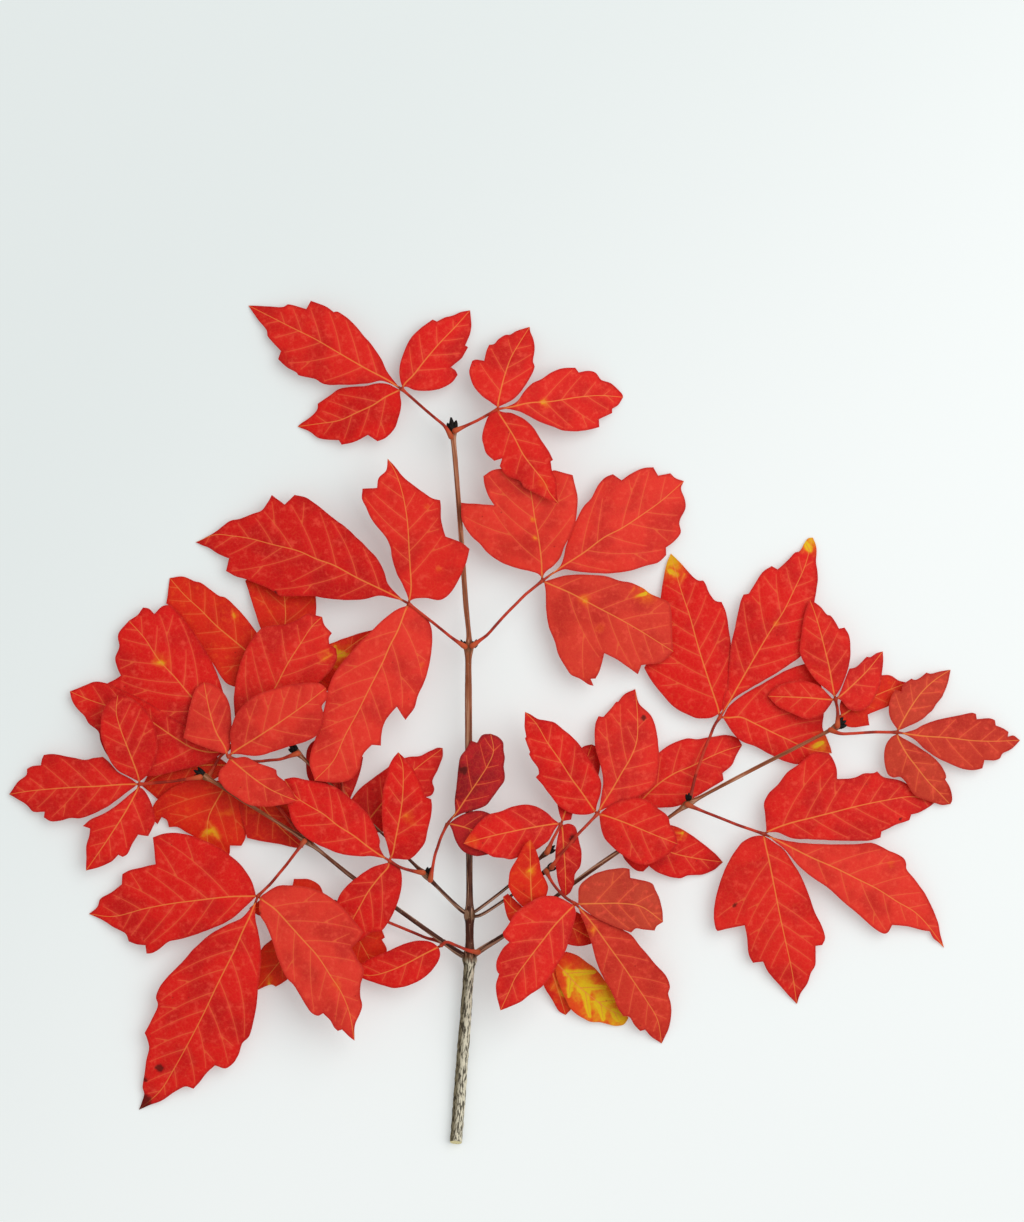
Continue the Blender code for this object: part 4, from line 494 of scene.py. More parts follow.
             "25.5,-66 31,-69 37,-71.6 40.7,-74 44,-78 49,-84 53,-88.5 54.3,-92.5 53.7,-94.5 54.8,-99 "
             "54.7,-103 53.7,-108",
             "22.8,-66.5 24.5,-70.5 26.8,-77 28.7,-84 31.5,-90 33.8,-94 36,-99.5 37.8,-102.5 40,-102.9 "
             "42,-106 44,-108 45.6,-107.5 48,-110.2"),
        )),
    "leaf_right_low": dict(
        hub="87.2,-38.7", stalk="60.3,-28.3 66,-30.7 78,-35.5",
        blades=(
            ("90,-37.2 96,-35 104,-33 112,-31 120,-29 130,-27 140,-25.8 147.4,-28",
             "88,-35.6 87.5,-31 87.2,-28 88.5,-25 92,-21.5 95.5,-17 99,-14.5 102,-12 104.5,-10.2 "
             "107.5,-10 110,-10.3 111.5,-12.5 112.8,-16.5 113,-19.5 119,-19 122.5,-17.5 126,-17.3 "
             "127,-16.8 129,-18.7 135,-20 139,-22 143.5,-25.3",
             "92,-38.2 97,-40.2 104,-40.6 112,-41 120,-41.2 125,-41 128.2,-40 128.5,-38 134,-35.5 "
             "138.5,-34 139,-32 142,-31.3 144.8,-29.8"),
            ("92.5,-41.2 97,-43.5 104,-47 112,-50.5 120,-54.5 127,-58 134,-62.5 140,-66 145,-71 "
             "150.8,-79",
             "95,-41 101,-41.8 110,-42.3 120,-42.2 125.3,-41.9 131,-44.5 136,-47 137.2,-49 137.3,-51 "
             "140,-54.5 144,-60 146.5,-65 148.5,-70 149.3,-74",
             "94.5,-44.3 99.5,-50 104,-53.8 109.5,-57.5 115,-62.5 121,-67.5 126,-72 129.5,-73.8 "
             "130.7,-73.5 132.3,-70.7 138,-71.3 143,-72.7 145.5,-73 147,-75.6 149,-77.2"),
            ("87.4,-40.8 89,-48 91,-58 93,-68 95,-77 97.2,-87 99,-98.6",
             "90,-41 94,-44 97.5,-49 100.5,-54 103,-60 105,-66 107.5,-71 108.8,-75.5 107.8,-77.8 "
             "105.5,-78.1 105.3,-85 104,-87.5 102.5,-91.5 100.2,-95",
             "84.5,-39.3 80,-41.3 76.5,-45.5 74,-50 72,-55 70.3,-61 69.7,-67 70.3,-72 71,-72.8 "
             "75.5,-71.8 80.5,-70.8 81.3,-75 82,-81 83.5,-84 87,-83.6 89,-87.5 92.5,-91.5 95.5,-95"),
        )),
    "leaf_mid_right": dict(
        hub="9.6,50", stalk="-14.9,27.2 -9.8,31 -3.1,38.4 3.7,45.2",
        blades=(
            ("9.4,52.5 9.3,56.3 8.6,62.5 8,66.3 6.8,72.5 6.1,77.5 5,84 3.5,93",
             "8,52.4 3.7,53.6 -1.1,54.9 -5.1,56.6 -9.1,59.3 -12,62.5 -15.8,66.3 -18.6,71.3 -18.9,77.2 "
             "-13.9,76.9 -7.3,76.3 -9.2,79.4 -10.8,83.8 -11.1,86.6 -8.3,88.4 -5.1,89.1 -1,89",
             "10.5,52.8 13.1,54.9 15.8,58 17.3,62 18.9,65 21.1,70.6 21.9,76.9 21.8,80 20.8,84.4 "
             "20.2,86.9 16.8,87.8 13.6,88.6 11,87.5 7.5,90.5"),
            ("15.5,54.3 24.3,60 31.4,65.3 37.4,68.4 46.8,74.7 51.8,78.4 59.3,85",
             "15.8,55.3 17.1,58.6 17.8,62 18.6,64.4 21.1,70.6 24.3,76.3 26.8,79.1 29.3,83.8 31.8,86.3 "
             "34.3,87.4 37.4,85.3 41.1,87.8 44.3,89.4 48.6,89.9 50.2,86.9 54.6,87.8 56.1,86.3",
             "17.1,53.9 21.2,53.3 27.2,52.7 34.6,52.6 40.7,53.6 46.1,55.3 50.1,56.3 53.1,59 53,61.6 "
             "56.1,64.1 58.2,66.9 57.7,70 58.3,72.2 59.9,75.6 59.6,78.8 58.3,82.5"),
            ("11.5,49.1 19.8,45.5 29.2,40.5 36.3,36.8 44,32.4 49.4,29 55.5,25.2",
             "13.1,50.6 17.1,51.8 22.5,52.2 27.9,52 31.9,51.6 36,50.2 40.7,49.2 44.7,47.5 47.4,45.5 "
             "50.8,44 53.8,42.5 54.7,39.8 55,33",
             "10.7,46.5 10.9,39.8 11.9,33.7 13.8,29 15.1,24.3 17.8,19.6 19.5,17.2 22.8,15.6 25.9,13.5 "
             "27.5,13.2 26.4,15.6 28.2,15.7 29.6,18.2 31.3,24.6 35.3,22.6 40.7,18.9 43,17.2 44.2,20.4 "
             "51.4,21.6"),
        )),
    "leaf_mid_left": dict(
        hub="-37.2,42", stalk="-17.6,27 -22,30 -28.5,35.2",
        blades=(
            ("-43.3,45.3 -48.5,47.8 -55.2,51 -63.6,55.5 -69.5,57.6 -75.8,60.4 -84.9,62.7 -93.3,64.9 "
             "-98.9,65.7 -105.2,66.2 -112.2,63.5",
             "-47.8,44.7 -52,43.6 -57.6,43.2 -64.6,43.6 -70.2,44.5 -75.8,44.6 -82.1,44.7 -86,47.1 "
             "-89.1,48.5 -94.7,50.6 -98.2,51.6 -101.4,53.4 -100.3,57.9 -103.8,59.3 -107.3,61.4",
             "-44.3,48.8 -45.7,53 -47.8,57.2 -51.3,61.1 -55.5,65.3 -59.7,69.1 -65,73 -69.5,76.7 -73,79 "
             "-77.2,80.1 -80.7,76.7 -85.3,80.1 -86.7,77.5 -88.8,74.7 -92.6,73.3 -96.1,71.9 -100.3,70.9 "
             "-104.5,67.7 -108,65.6"),
            ("-36.8,44 -36.3,47.4 -36.6,54.4 -37,61.4 -37.3,67.7 -38,74 -39.4,81 -41.5,87.3 -44.4,92.6",
             "-37.7,44.9 -39.4,48.8 -41.5,53 -43.1,58.3 -43.5,61.4 -45,64.9 -47.8,68.4 -49.9,71.2 "
             "-52,75.4 -53.4,78.6 -53.2,82.1 -48.2,82.4 -47.5,85.9 -45,88.4",
             "-35.5,43.6 -31,43.9 -26.5,43.2 -23.3,45 -20.5,48.8 -17.2,55.9 -15.9,61.1 -18.7,63.3 "
             "-24.2,65.4 -25.7,70.7 -25.9,75.8 -26.1,78.1 -29,78.8 -34.2,82.5 -38.7,85.9 -41.5,89.4"),
            ("-38.3,39.6 -41,32.5 -43.7,27.3 -46.1,21.7 -49.8,14.4 -52.1,9.8 -55,3.9 -59.4,-4.2 "
             "-63.5,-13 -70,-19.8",
             "-35,40.4 -31.4,37.8 -29.2,33.5 -29,28.5 -29.8,21 -31.3,15.5 -33.8,10 -35.2,5.5 -37,3 "
             "-38.2,1.3 -39.5,3 -41.3,6 -43.5,3.5 -45.5,0.5 -46.5,-3 -46.8,-7.6 -50,-7.4 -53,-10.5 "
             "-54.5,-16 -57.5,-19.5 -63,-20.5",
             "-40.3,40.5 -43.7,38.3 -47.2,35.4 -50.4,32.2 -54.2,28.4 -59,23 -63.2,17.3 -65.3,12.1 "
             "-66.5,6 -68,0 -70,-6 -71.8,-13"),
        )),
    "leaf_top_right": dict(
        hub="-6,110", stalk="-20.9,102.4 -13.2,106",
        blades=(
            ("-5.9,112 -4.5,118.6 -3.1,123.5 -1.3,128.4 1.5,133.3 5.2,139.2",
             "-9,112.7 -12.9,115.8 -15.3,120 -16,123.5 -15,127 -13.9,127.5 -10.8,127 -10.1,130.5 "
             "-9,132.7 -7.3,133 -5.9,134.7 -3.4,136.2 -1.7,136.3 0.1,137.5",
             "-2.7,112.3 0.1,114 4.3,119.3 6.9,125.2 6.4,126.7 7,131.2 6.5,134.7 5.4,137.5"),
            ("-1.2,110.8 4.9,112.2 13,112.8 21.8,114.3 29.9,115 38,114.5",
             "0.5,112.5 3,115.9 6.1,119.1 9.3,120.6 12.4,122.8 16.1,124.4 21.1,124.7 22.4,123.1 "
             "25.5,123.6 28.3,123 30.2,120.6 33,119.7 35.2,118.1 37.7,115.6",
             "1.5,109.2 4.3,107.8 9.3,105.3 13.6,103.8 16.8,102.6 22.4,102.4 26.1,103 29.6,103.9 "
             "29.4,106.6 31.1,107.5 34.1,108.9 34.1,110.3 36.4,111.9"),
            ("-5.6,108.6 -3.3,105 -0.4,100.3 3,93.8 6.8,88.8 10.2,84.4 12.1,80.6 15.2,76.9",
             "-3.6,108.8 -1.4,108.6 3,106.6 6.1,103.8 9.3,98.8 11.8,95.3 13.3,92.2 12.4,91.6 13,88.1 "
             "14.3,85.6 14.6,80",
             "-8.6,108.5 -10.4,105 -11.5,100.3 -11.1,97.5 -10.1,94.4 -7.3,91.9 -4.5,92.6 -5.3,90 "
             "-3.3,86.9 1.8,84.7 3,82.8 8,80 13,77.5"),
        )),
    "leaf_top_left": dict(
        hub="-39.7,117.2", stalk="-22.4,100.4 -24.6,104 -31,109.5",
        blades=(
            ("-42,118.6 -44,120 -52.5,124.5 -62,130 -70,134.7 -78,138.7 -93.6,146.7",
             "-46.8,120 -51,119.2 -60,118.6 -67,119 -69.9,120.6 -76.1,122.2 -76.5,122.9 -80,124.9 "
             "-83.1,127.8 -82.1,130.5 -86.9,136 -87,137.5 -90.2,141.7",
             "-44.7,123.1 -46.5,127 -49.6,131.9 -53.5,136.5 -57,140.6 -62.4,144.4 -63.6,144.2 "
             "-65.7,145.9 -71.6,148.2 -73.2,145.4 -79.8,147 -81,146.2 -90.2,146.6"),
            ("-38.5,119.2 -35.6,122.1 -32.1,126.6 -26.5,133.3 -20.9,139.2 -15.8,145",
             "-40.3,120.5 -40.5,124.2 -39.1,129.8 -36.3,135.4 -32.8,138.8 -28.9,141.7 -27.5,141 "
             "-24.7,142.4 -21.9,143.1 -18.8,144.5",
             "-38,118 -35.6,116.9 -31.4,116.5 -26.5,117.2 -22.3,119.3 -20,122.2 -20.9,123.8 -22.4,124.9 "
             "-18.8,128 -17.7,129.8 -16.5,132 -17.5,132.6 -15.4,138.2"),
            ("-41.5,116.3 -45.4,114.4 -49.9,111.5 -55.2,109.1 -61.5,106.3 -68.5,105.2 -76.4,104.2",
             "-40.2,115.2 -39.8,111.6 -40.9,106.7 -42.3,103.2 -45.4,100 -48.2,98.9 -51.6,101.1 "
             "-56.3,98.7 -60.8,97.7 -61.8,99.4 -65.7,99.5 -69.4,100.3 -71.7,102.2",
             "-42.5,118 -44.7,119 -48.2,119.2 -53,118.2 -58,118 -62.2,117 -64.7,115.2 -69.2,112.2 "
             "-69.4,110.2 -72,107.4 -75.5,105"),
        )),
    "leaf_left_over": dict(
        hub="-100.5,-11.5", stalk="-76,-10.4 -82,-12.4 -90,-13.2 -96,-12.8",
        blades=(
            ("-97,-9 -89,-4 -80,2 -73,7 -66,12.5",
             "-99.3,-7.5 -99.5,-3.5 -98,2 -94.5,7 -90.5,10 -84,12.3 -79.5,13.6 -73,14.4 -67.7,14",
             "-96.5,-10.7 -90,-11.2 -84,-9.6 -79,-8 -74,-6.5 -70.5,-5 -69.5,-4.3 -67.5,-1 -66.6,3 "
             "-67.4,6 -65.3,9.5"),
            ("-101.3,-8.5 -104.5,-3 -106.5,3 -108,9.5 -108.9,14.4",
             "-103.3,-10 -108,-8.5 -113,-6.5 -116,-5 -115,0 -113.6,7 -111.6,12.4",
             "-99.9,-8.5 -99.2,-4 -99.2,1 -100,7 -102.6,11.5 -106,13.8"),
            ("-98.3,-13.3 -92,-18.5 -86,-22.6 -81,-25 -76.3,-26.8",
             "-97.5,-11.9 -94,-11.6 -90,-13.6 -84.5,-15.5 -83.4,-16.2 -83,-18 -80.5,-20 -79,-22 "
             "-77.5,-24",
             "-101,-14 -103.3,-16.5 -103.8,-19.5 -101,-23 -97,-26 -92.5,-28.4 -87,-28.9 -82,-28.4 "
             "-78,-27.6"),
        )),
    "leaf_far_left": dict(
        hub="-131.5,-21.3", stalk="-110.2,-18.7 -120,-20.2",
        blades=(
            ("-134,-21.3 -138,-21.4 -146,-22 -155,-22.4 -165,-23.2 -172,-24 -177.6,-25",
             "-134.5,-23 -139,-26.5 -144,-29.8 -149,-32.2 -152.5,-33.3 -156,-33.2 -159.5,-34.2 "
             "-163,-34.3 -165.2,-33 -165,-31 -169,-31 -171,-29 -174,-27",
             "-134,-19.8 -139,-17 -142,-13.8 -144.5,-11.7 -148,-12.2 -150.3,-12.7 -155,-12 -162,-10.7 "
             "-165.3,-11 -166,-12.5 -166.3,-14.7 -169.5,-15 -171.3,-16 -171.5,-18 -174.5,-20.5"),
            ("-132,-18.5 -135,-10 -138,-2 -139.5,4 -139,9.8",
             "-134.5,-19 -139,-16.5 -142,-12.5 -144.5,-6 -145,-1 -144.3,4 -142.5,7.5",
             "-130,-19.3 -126.8,-15 -125.3,-10 -125.5,-3 -126.5,0 -128.5,3.5 -132,7.5 -136,9.6"),
            ("-132.7,-24 -136.5,-31 -140,-36.5 -144,-42.5 -147.5,-47.5 -150.4,-51.6",
             "-130.3,-23 -128,-26.5 -126.5,-31 -126,-34 -127,-36.4 -128.5,-39.5 -132,-39 -134,-42 "
             "-136,-46 -137.5,-46.8 -139,-46 -141.5,-48.5 -146,-50.5",
             "-134.6,-24.5 -139.5,-28.5 -144,-31.5 -148.5,-33.5 -151.5,-36 -149,-36.8 -149.3,-39.5 "
             "-150.3,-43 -150.3,-47.5"),
        )),
    "leaf_right_over": dict(
        hub="112.3,8.4", stalk="112.7,-0.7 112.8,4",
        blades=(
            ("111.6,11.5 110,20 108.3,27 106.5,34 104.8,39.5 103.3,43.4",
             "110.2,11 106,14.5 102,20 99.8,25 100.3,31 101.2,37 102.2,40.8",
             "113.6,11.6 116,17 117.3,22 117.5,28 116.8,31.5 115.5,33.6 113.5,33.2 112,36 110.5,37.8 "
             "109.5,38 107.5,40.5 105.3,42.3"),
            ("114.5,10 119.5,14.5 124,19 129.1,25.2",
             "114.2,11.7 115.7,15.5 117.2,19.2 119,19.5 120.5,20.5 123.3,23.4 124.5,23.2 127,24.7",
             "114.5,7.8 117,5 121,4.3 124,6 126.5,10 128.2,14 128.8,18 129.2,22"),
            ("109.8,8.4 103,9 96,9.3 88.5,9.5",
             "110.5,6.6 107.5,3 103,1.5 97,3.5 92,6",
             "109.7,10.3 106,13.5 100,15 94,14 90.5,12"),
        )),
    "leaf_far_right": dict(
        hub="133.8,-3.1", stalk="110.4,-2.2 113.6,-3.4 118,-3.4 126,-3",
        blades=(
            ("135,-0.8 139,6 143,11.3 147.5,15.3 153,18.8",
             "133.2,-1 131.3,2.5 131,6 132,9.5 133.3,11.8 135.5,11.2 136,13.5 139,15.7 140.5,15.3 "
             "144.5,17.8 145.8,17.4 149.5,18.3",
             "135.8,-1.9 139,-0.5 143,1.5 145,3.5 146.5,4.7 148,7 150,9.5 150.3,10.3 151.8,13.5"),
            ("139,-3.9 144,-4.5 152,-5 160,-6 168,-6.3 177.4,-6",
             "140,-2.2 143,-0.5 149,1.5 155,2.7 160.5,3.7 161.7,3.3 162,1.5 167,1.7 168.5,1 168.8,-0.8 "
             "171.5,-1.8 173.3,-3 173,-4.7 175,-4.3",
             "140,-5.6 143.3,-8.8 147.5,-11.8 152,-14 157,-16 161,-16.5 164,-15.8 164.7,-12.9 168.5,-13 "
             "170.3,-12.2 171,-10.8 174.5,-9"),
            ("134.3,-5.2 137.5,-11 141,-15.5 145,-20.5 149,-24.5 152.8,-28.5",
             "135.5,-4.8 139.5,-7 144,-10 146.3,-11.6 148.8,-14 150.8,-17 151.3,-19 151,-19.7 152.8,-23 "
             "153.5,-27",
             "132,-4.6 130,-7.5 129.3,-11 129.7,-15 130.8,-18 132.5,-19 135,-18.8 137,-20.5 139.5,-24.5 "
             "141.5,-26 146,-27.5 150,-28.7"),
        )),
}

# How each leaf has turned: its hue, the tone of each leaflet from dark to light, how dull each one
# is, and where gold or brown has spread, as x, y and radius.
LOOKS = {
    "leaf_west_inner": dict(hue="orange", tones=(0.4, 0.35, 0.4), gold="-62,24,4 -98,38,2"),
    "leaf_west_lower": dict(hue="orange", tones=(0.55, 0.5, 0.2), gold="-107,-39,3.4 -101,-31,2.2"),
    "leaf_west_upper": dict(hue="scarlet", tones=(0.64, 0.45, 0.5), gold="-124,22,3 -66,24,2.5"),
    "leaf_left_middle": dict(hue="scarlet", tones=(0.36,)),
    "leaf_left_inner": dict(hue="scarlet", tones=(0.3,)),
    "leaf_left_under": dict(hue="orange", tones=(0.7, 0.6, 0.6), gold="-86,-92,3"),
    "leaf_low_yellow": dict(
        hue="orange", tones=(0.6, 0.6), gold="24,-92,8 31,-98,10 37,-103,7 18,-87,4"),
    "leaf_right_under": dict(
        hue="scarlet", tones=(0.4, 0.58), gold="58.8,-38,3", brown="70,-41,2.2"),
    "leaf_far_single": dict(hue="orange", tones=(0.4,), brown="141,16,2"),
    "leaf_right_tall": dict(
        hue="scarlet", tones=(0.5, 0.55, 0.55),
        gold="54,58,6.5 46,34,3 104,64,4.5 91.4,35.4,1.4 108,-8,4 44,22,2.5"),
    "leaf_low_single": dict(hue="scarlet", tones=(0.45,)),
    "leaf_middle_small": dict(hue="crimson", tones=(0.8, 0.7), brown="-18,-16,2.6"),
    "leaf_centre_small": dict(hue="scarlet", tones=(0.5, 0.25, 0.3), gold="-15,-40.5,3", brown="20,-40,1.8"),
    "leaf_centre_high": dict(hue="scarlet", tones=(0.52, 0.66, 0.6), gold="29,-31,2.5", brown="45,2,1.4"),
    "leaf_low_orange": dict(hue="orange", tones=(0.5, 0.5, 0.25), gold="5,-42,2.4 5.6,-52,2.6"),
    "leaf_low_centre": dict(hue="scarlet", tones=(0.6, 0.55, 0.6), dull=(0, 0.6, 0.4), gold="26,-72,2.5"),
    "leaf_low_left": dict(
        hue="scarlet", tones=(0.5, 0.55, 0.78), dull=(0, 0, 0.15), gold="-62.5,-91,2 -90,-65,2",
        brown="-124.5,-121,2.1 -129.5,-125,1.6 -131,-133,3.4 -89,-66,1.4"),
    "leaf_left_cross": dict(hue="scarlet", tones=(0.45, 0.5, 0.5), gold="-37,-33,2.5"),
    "leaf_right_low": dict(
        hue="scarlet", tones=(0.47, 0.76, 0.62), dull=(0.1, 0, 0.05), gold="150,-78,1.5 132,-50,1.6",
        brown="135.4,-33.7,1 77,-63.5,1.4"),
    "leaf_mid_right": dict(
        hue="scarlet", tones=(0.78, 0.75, 0.75), dull=(0, 0.05, 0.3),
        gold="46,46,4 24,43,2.4 30,33.4,1.7 6.9,64.7,1.3 6.3,71,1.2"),
    "leaf_mid_left": dict(
        hue="scarlet", tones=(0.35, 0.64, 0.75), gold="-31,76,1 -26.7,54,1.6 -32,20.5,1.1",
        brown="-102,56.5,1.7 -84,46,1.3 -78,46,1.2"),
    "leaf_top_left": dict(hue="scarlet", tones=(0.6, 0.5, 0.5)),
    "leaf_top_right": dict(hue="scarlet", tones=(0.6, 0.6, 0.6), gold="10,112,2.2 9.6,84,2"),
    "leaf_left_over": dict(hue="scarlet", tones=(0.75, 0.75, 0.75), dull=(0.1, 0.15, 0.1)),
    "leaf_far_left": dict(hue="scarlet", tones=(0.42, 0.5, 0.5), dull=(0.1, 0.1, 0.1)),
    "leaf_right_over": dict(hue="scarlet", tones=(0.6, 0.6, 0.6), dull=(0.08, 0.08, 0.08)),
    "leaf_far_right": dict(hue="scarlet", tones=(0.5, 0.5, 0.5), dull=(0.55, 0.5, 0.55)),
}


def linear(colour):
    """Turns an sRGB hex colour into the three linear values that a shader takes."""
    channels = [int(colour[i : i + 2], 16) / 255 for i in (1, 3, 5)]
    return [c / 12.92 if c <= 0.04045 else ((c + 0.055) / 1.055) ** 2.4 for c in channels]


class MapleLeafSettings(bpy.types.PropertyGroup):
    """Sizes and colours of the leaves."""

    thickness: bpy.props.FloatProperty(
        name="Blade thickness", description="Thickness of a leaflet between its veins",
        default=0.0003, min=0.0001, max=0.0006, precision=5, unit="LENGTH",
    )
    vein_spacing: bpy.props.FloatProperty(
        name="Vein spacing", description="Distance along the midrib between side veins",
        default=0.0082, min=0.003, max=0.02, precision=4, unit="LENGTH",
    )
    vein_angle: bpy.props.FloatProperty(
        name="Vein angle", description="Angle at which side veins leave the midrib at its base",
        default=math.radians(50), min=0.3, max=1.4, subtype="ANGLE",
    )
    wave: bpy.props.FloatProperty(
        name="Margin wave", description="How far the margins rise and fall as they dry",
        default=0.00032, min=0, max=0.001, precision=5, unit="LENGTH",
    )
    stalk_radius: bpy.props.FloatProperty(
        name="Stalk radius", description="Radius of a leaf stalk along its middle",
        default=0.00057, min=0.0002, max=0.001, precision=5, unit="LENGTH",
    )
    scarlet: bpy.props.FloatVectorProperty(
        name="Scarlet", description="Colour of a leaf that has turned red",
        default=linear("#dc1d19"), min=0, max=1, subtype="COLOR",
    )
    crimson: bpy.props.FloatVectorProperty(
        name="Crimson", description="Colour of the darkest leaves",
        default=linear("#a51a22"), min=0, max=1, subtype="COLOR",
    )
    orange: bpy.props.FloatVectorProperty(
        name="Orange", description="Colour of a leaf that is still turning",
        default=linear("#df2a17"), min=0, max=1, subtype="COLOR",
    )
    vein: bpy.props.FloatVectorProperty(
        name="Vein", description="Colour of the midrib and the side veins",
        default=linear("#ea6c3a"), min=0, max=1, subtype="COLOR",
    )
    gold: bpy.props.FloatVectorProperty(
        name="Gold", description="Colour of the patches that haven't turned red",
        default=linear("#e4bd1a"), min=0, max=1, subtype="COLOR",
    )


class MapleTwigSettings(bpy.types.PropertyGroup):
    """Colours of the twig and its buds."""

    old_bark: bpy.props.FloatVectorProperty(
        name="Old bark", description="Colour of the weathered bark below the lowest fork",
        default=linear("#dcd5bd"), min=0, max=1, subtype="COLOR",
    )
    young_bark: bpy.props.FloatVectorProperty(
        name="Young bark", description="Colour of this year's smooth bark",
        default=linear("#a3603f"), min=0, max=1, subtype="COLOR",
    )
    bud: bpy.props.FloatVectorProperty(
        name="Bud", description="Colour of the winter buds",
        default=linear("#0e0a08"), min=0, max=1, subtype="COLOR",
    )


class MapleStageSettings(bpy.types.PropertyGroup):
    """The table, the light and the camera."""

    table: bpy.props.FloatVectorProperty(
        name="Table", description="Colour of the table",
        default=linear("#d9dddc"), min=0, max=1, subtype="COLOR",
    )
    # The table's glow is painted light that lifts its shadows.
    table_glow: bpy.props.FloatProperty(
        name="Table glow", description="Strength of the painted glow that lifts the table's shadows",
        default=0.34, min=0, max=1, subtype="FACTOR",
    )
    camera_height: bpy.props.FloatProperty(
        name="Camera height", description="Height of the camera over the table",
        default=2.4, min=0.5, max=10, unit="LENGTH",
    )
    key_power: bpy.props.FloatProperty(
        name="Key light", description="Power of the large soft light",
        default=21.0, min=0, max=500, unit="POWER",
    )
    fill: bpy.props.FloatProperty(
        name="Fill light", description="Strength of the even light from all round",
        default=0.55, min=0, max=3, subtype="FACTOR",
    )


def points_of(text):
    """Turns "x,y x,y" into an array of points."""
    return np.array([[float(value) for value in pair.split(",")] for pair in text.split()])


def between(points, step):
    """Points along a line of points, no further apart than the step."""
    made = [points[0]]
    for start, end in zip(points, points[1:]):
        count = max(1, math.ceil(np.linalg.norm((end - start)[:2]) / step))
        made += [start + (end - start) * (i + 1) / count for i in range(count)]
    return np.array(made)


def curve_through(points, step):
    """A smooth curve through a line of points, with a point every step."""
    if len(points) < 3:
        return between(points, step)
    ends = np.vstack([2 * points[0] - points[1], points, 2 * points[-1] - points[-2]])
    made = [points[0]]
    for a, b, c, d in zip(ends, ends[1:], ends[2:], ends[3:]):
        before, span, after = [math.sqrt(np.linalg.norm(q - p)) for p, q in ((a, b), (b, c), (c, d))]
        leave = span * ((b - a) / before - (c - a) / (before + span) + (c - b) / span)
        arrive = span * ((c - b) / span - (d - b) / (span + after) + (d - c) / after)
        count = max(1, math.ceil(np.linalg.norm(c - b) / step))
        for s in np.arange(1, count + 1) / count:
            made.append(
                (2 * s**3 - 3 * s**2 + 1) * b + (s**3 - 2 * s**2 + s) * leave
                + (3 * s**2 - 2 * s**3) * c + (s**3 - s**2) * arrive
            )
    return np.array(made)


def cornered_curve(points, step):
    """A curve through the points that stays sharp where they turn hard, as a margin does at a tooth."""
    ways = np.diff(points, axis=0)
    headings = np.arctan2(ways[:, 1], ways[:, 0])
    turns = np.abs((np.diff(headings) + math.pi) % (2 * math.pi) - math.pi)
    stops = [0, *(np.flatnonzero(turns > CORNER) + 1), len(points) - 1]
    runs = [curve_through(points[a : b + 1], step) for a, b in zip(stops, stops[1:])]
    return np.vstack([runs[0], *(run[1:] for run in runs[1:])])


def distance_to_line(line, places, widths=(1, 1)):
    """The shortest distance from each place to a line of points, in widths that taper along the line."""
    best = np.full(len(places), np.inf)
    tapered = np.linspace(*widths, len(line) - 1)
    for start, end, width in zip(line, line[1:], tapered):
        along = end - start
        share = np.clip(((places - start) @ along) / max(along @ along, LEAST_SPAN), 0, 1)
        gap = np.linalg.norm(places - start - share[:, None] * along, axis=1)
        best = np.minimum(best, gap / width)
    return best


def inside(outline, places):
    """True for each place that lies inside the closed outline, by crossing count."""
    x, y = places[:, :1], places[:, 1:]
    ax, ay = outline.T
    bx, by = np.roll(outline, -1, axis=0).T
    crosses = (ay > y) != (by > y)
    right = x < ax + (y - ay) * (bx - ax) / (by - ay + LEAST_RISE)
    return (crosses & right).sum(1) % 2 == 1


def fade(value, start, end):
    """A smooth step from 0 at the start to 1 at the end."""
    share = np.clip((value - start) / (end - start), 0, 1)
    return share * share * (3 - 2 * share)


def arc_lengths(line):
    return np.concatenate([[0], np.cumsum(np.linalg.norm(np.diff(line, axis=0), axis=1))])


def node_points(node):
    """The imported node's vertices, in millimetres."""
    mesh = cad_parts[node].data
    points = np.empty(len(mesh.vertices) * 3, np.float32)
    mesh.vertices.foreach_get("co", points)
    return np.float64(points.reshape(-1, 3)) / MM


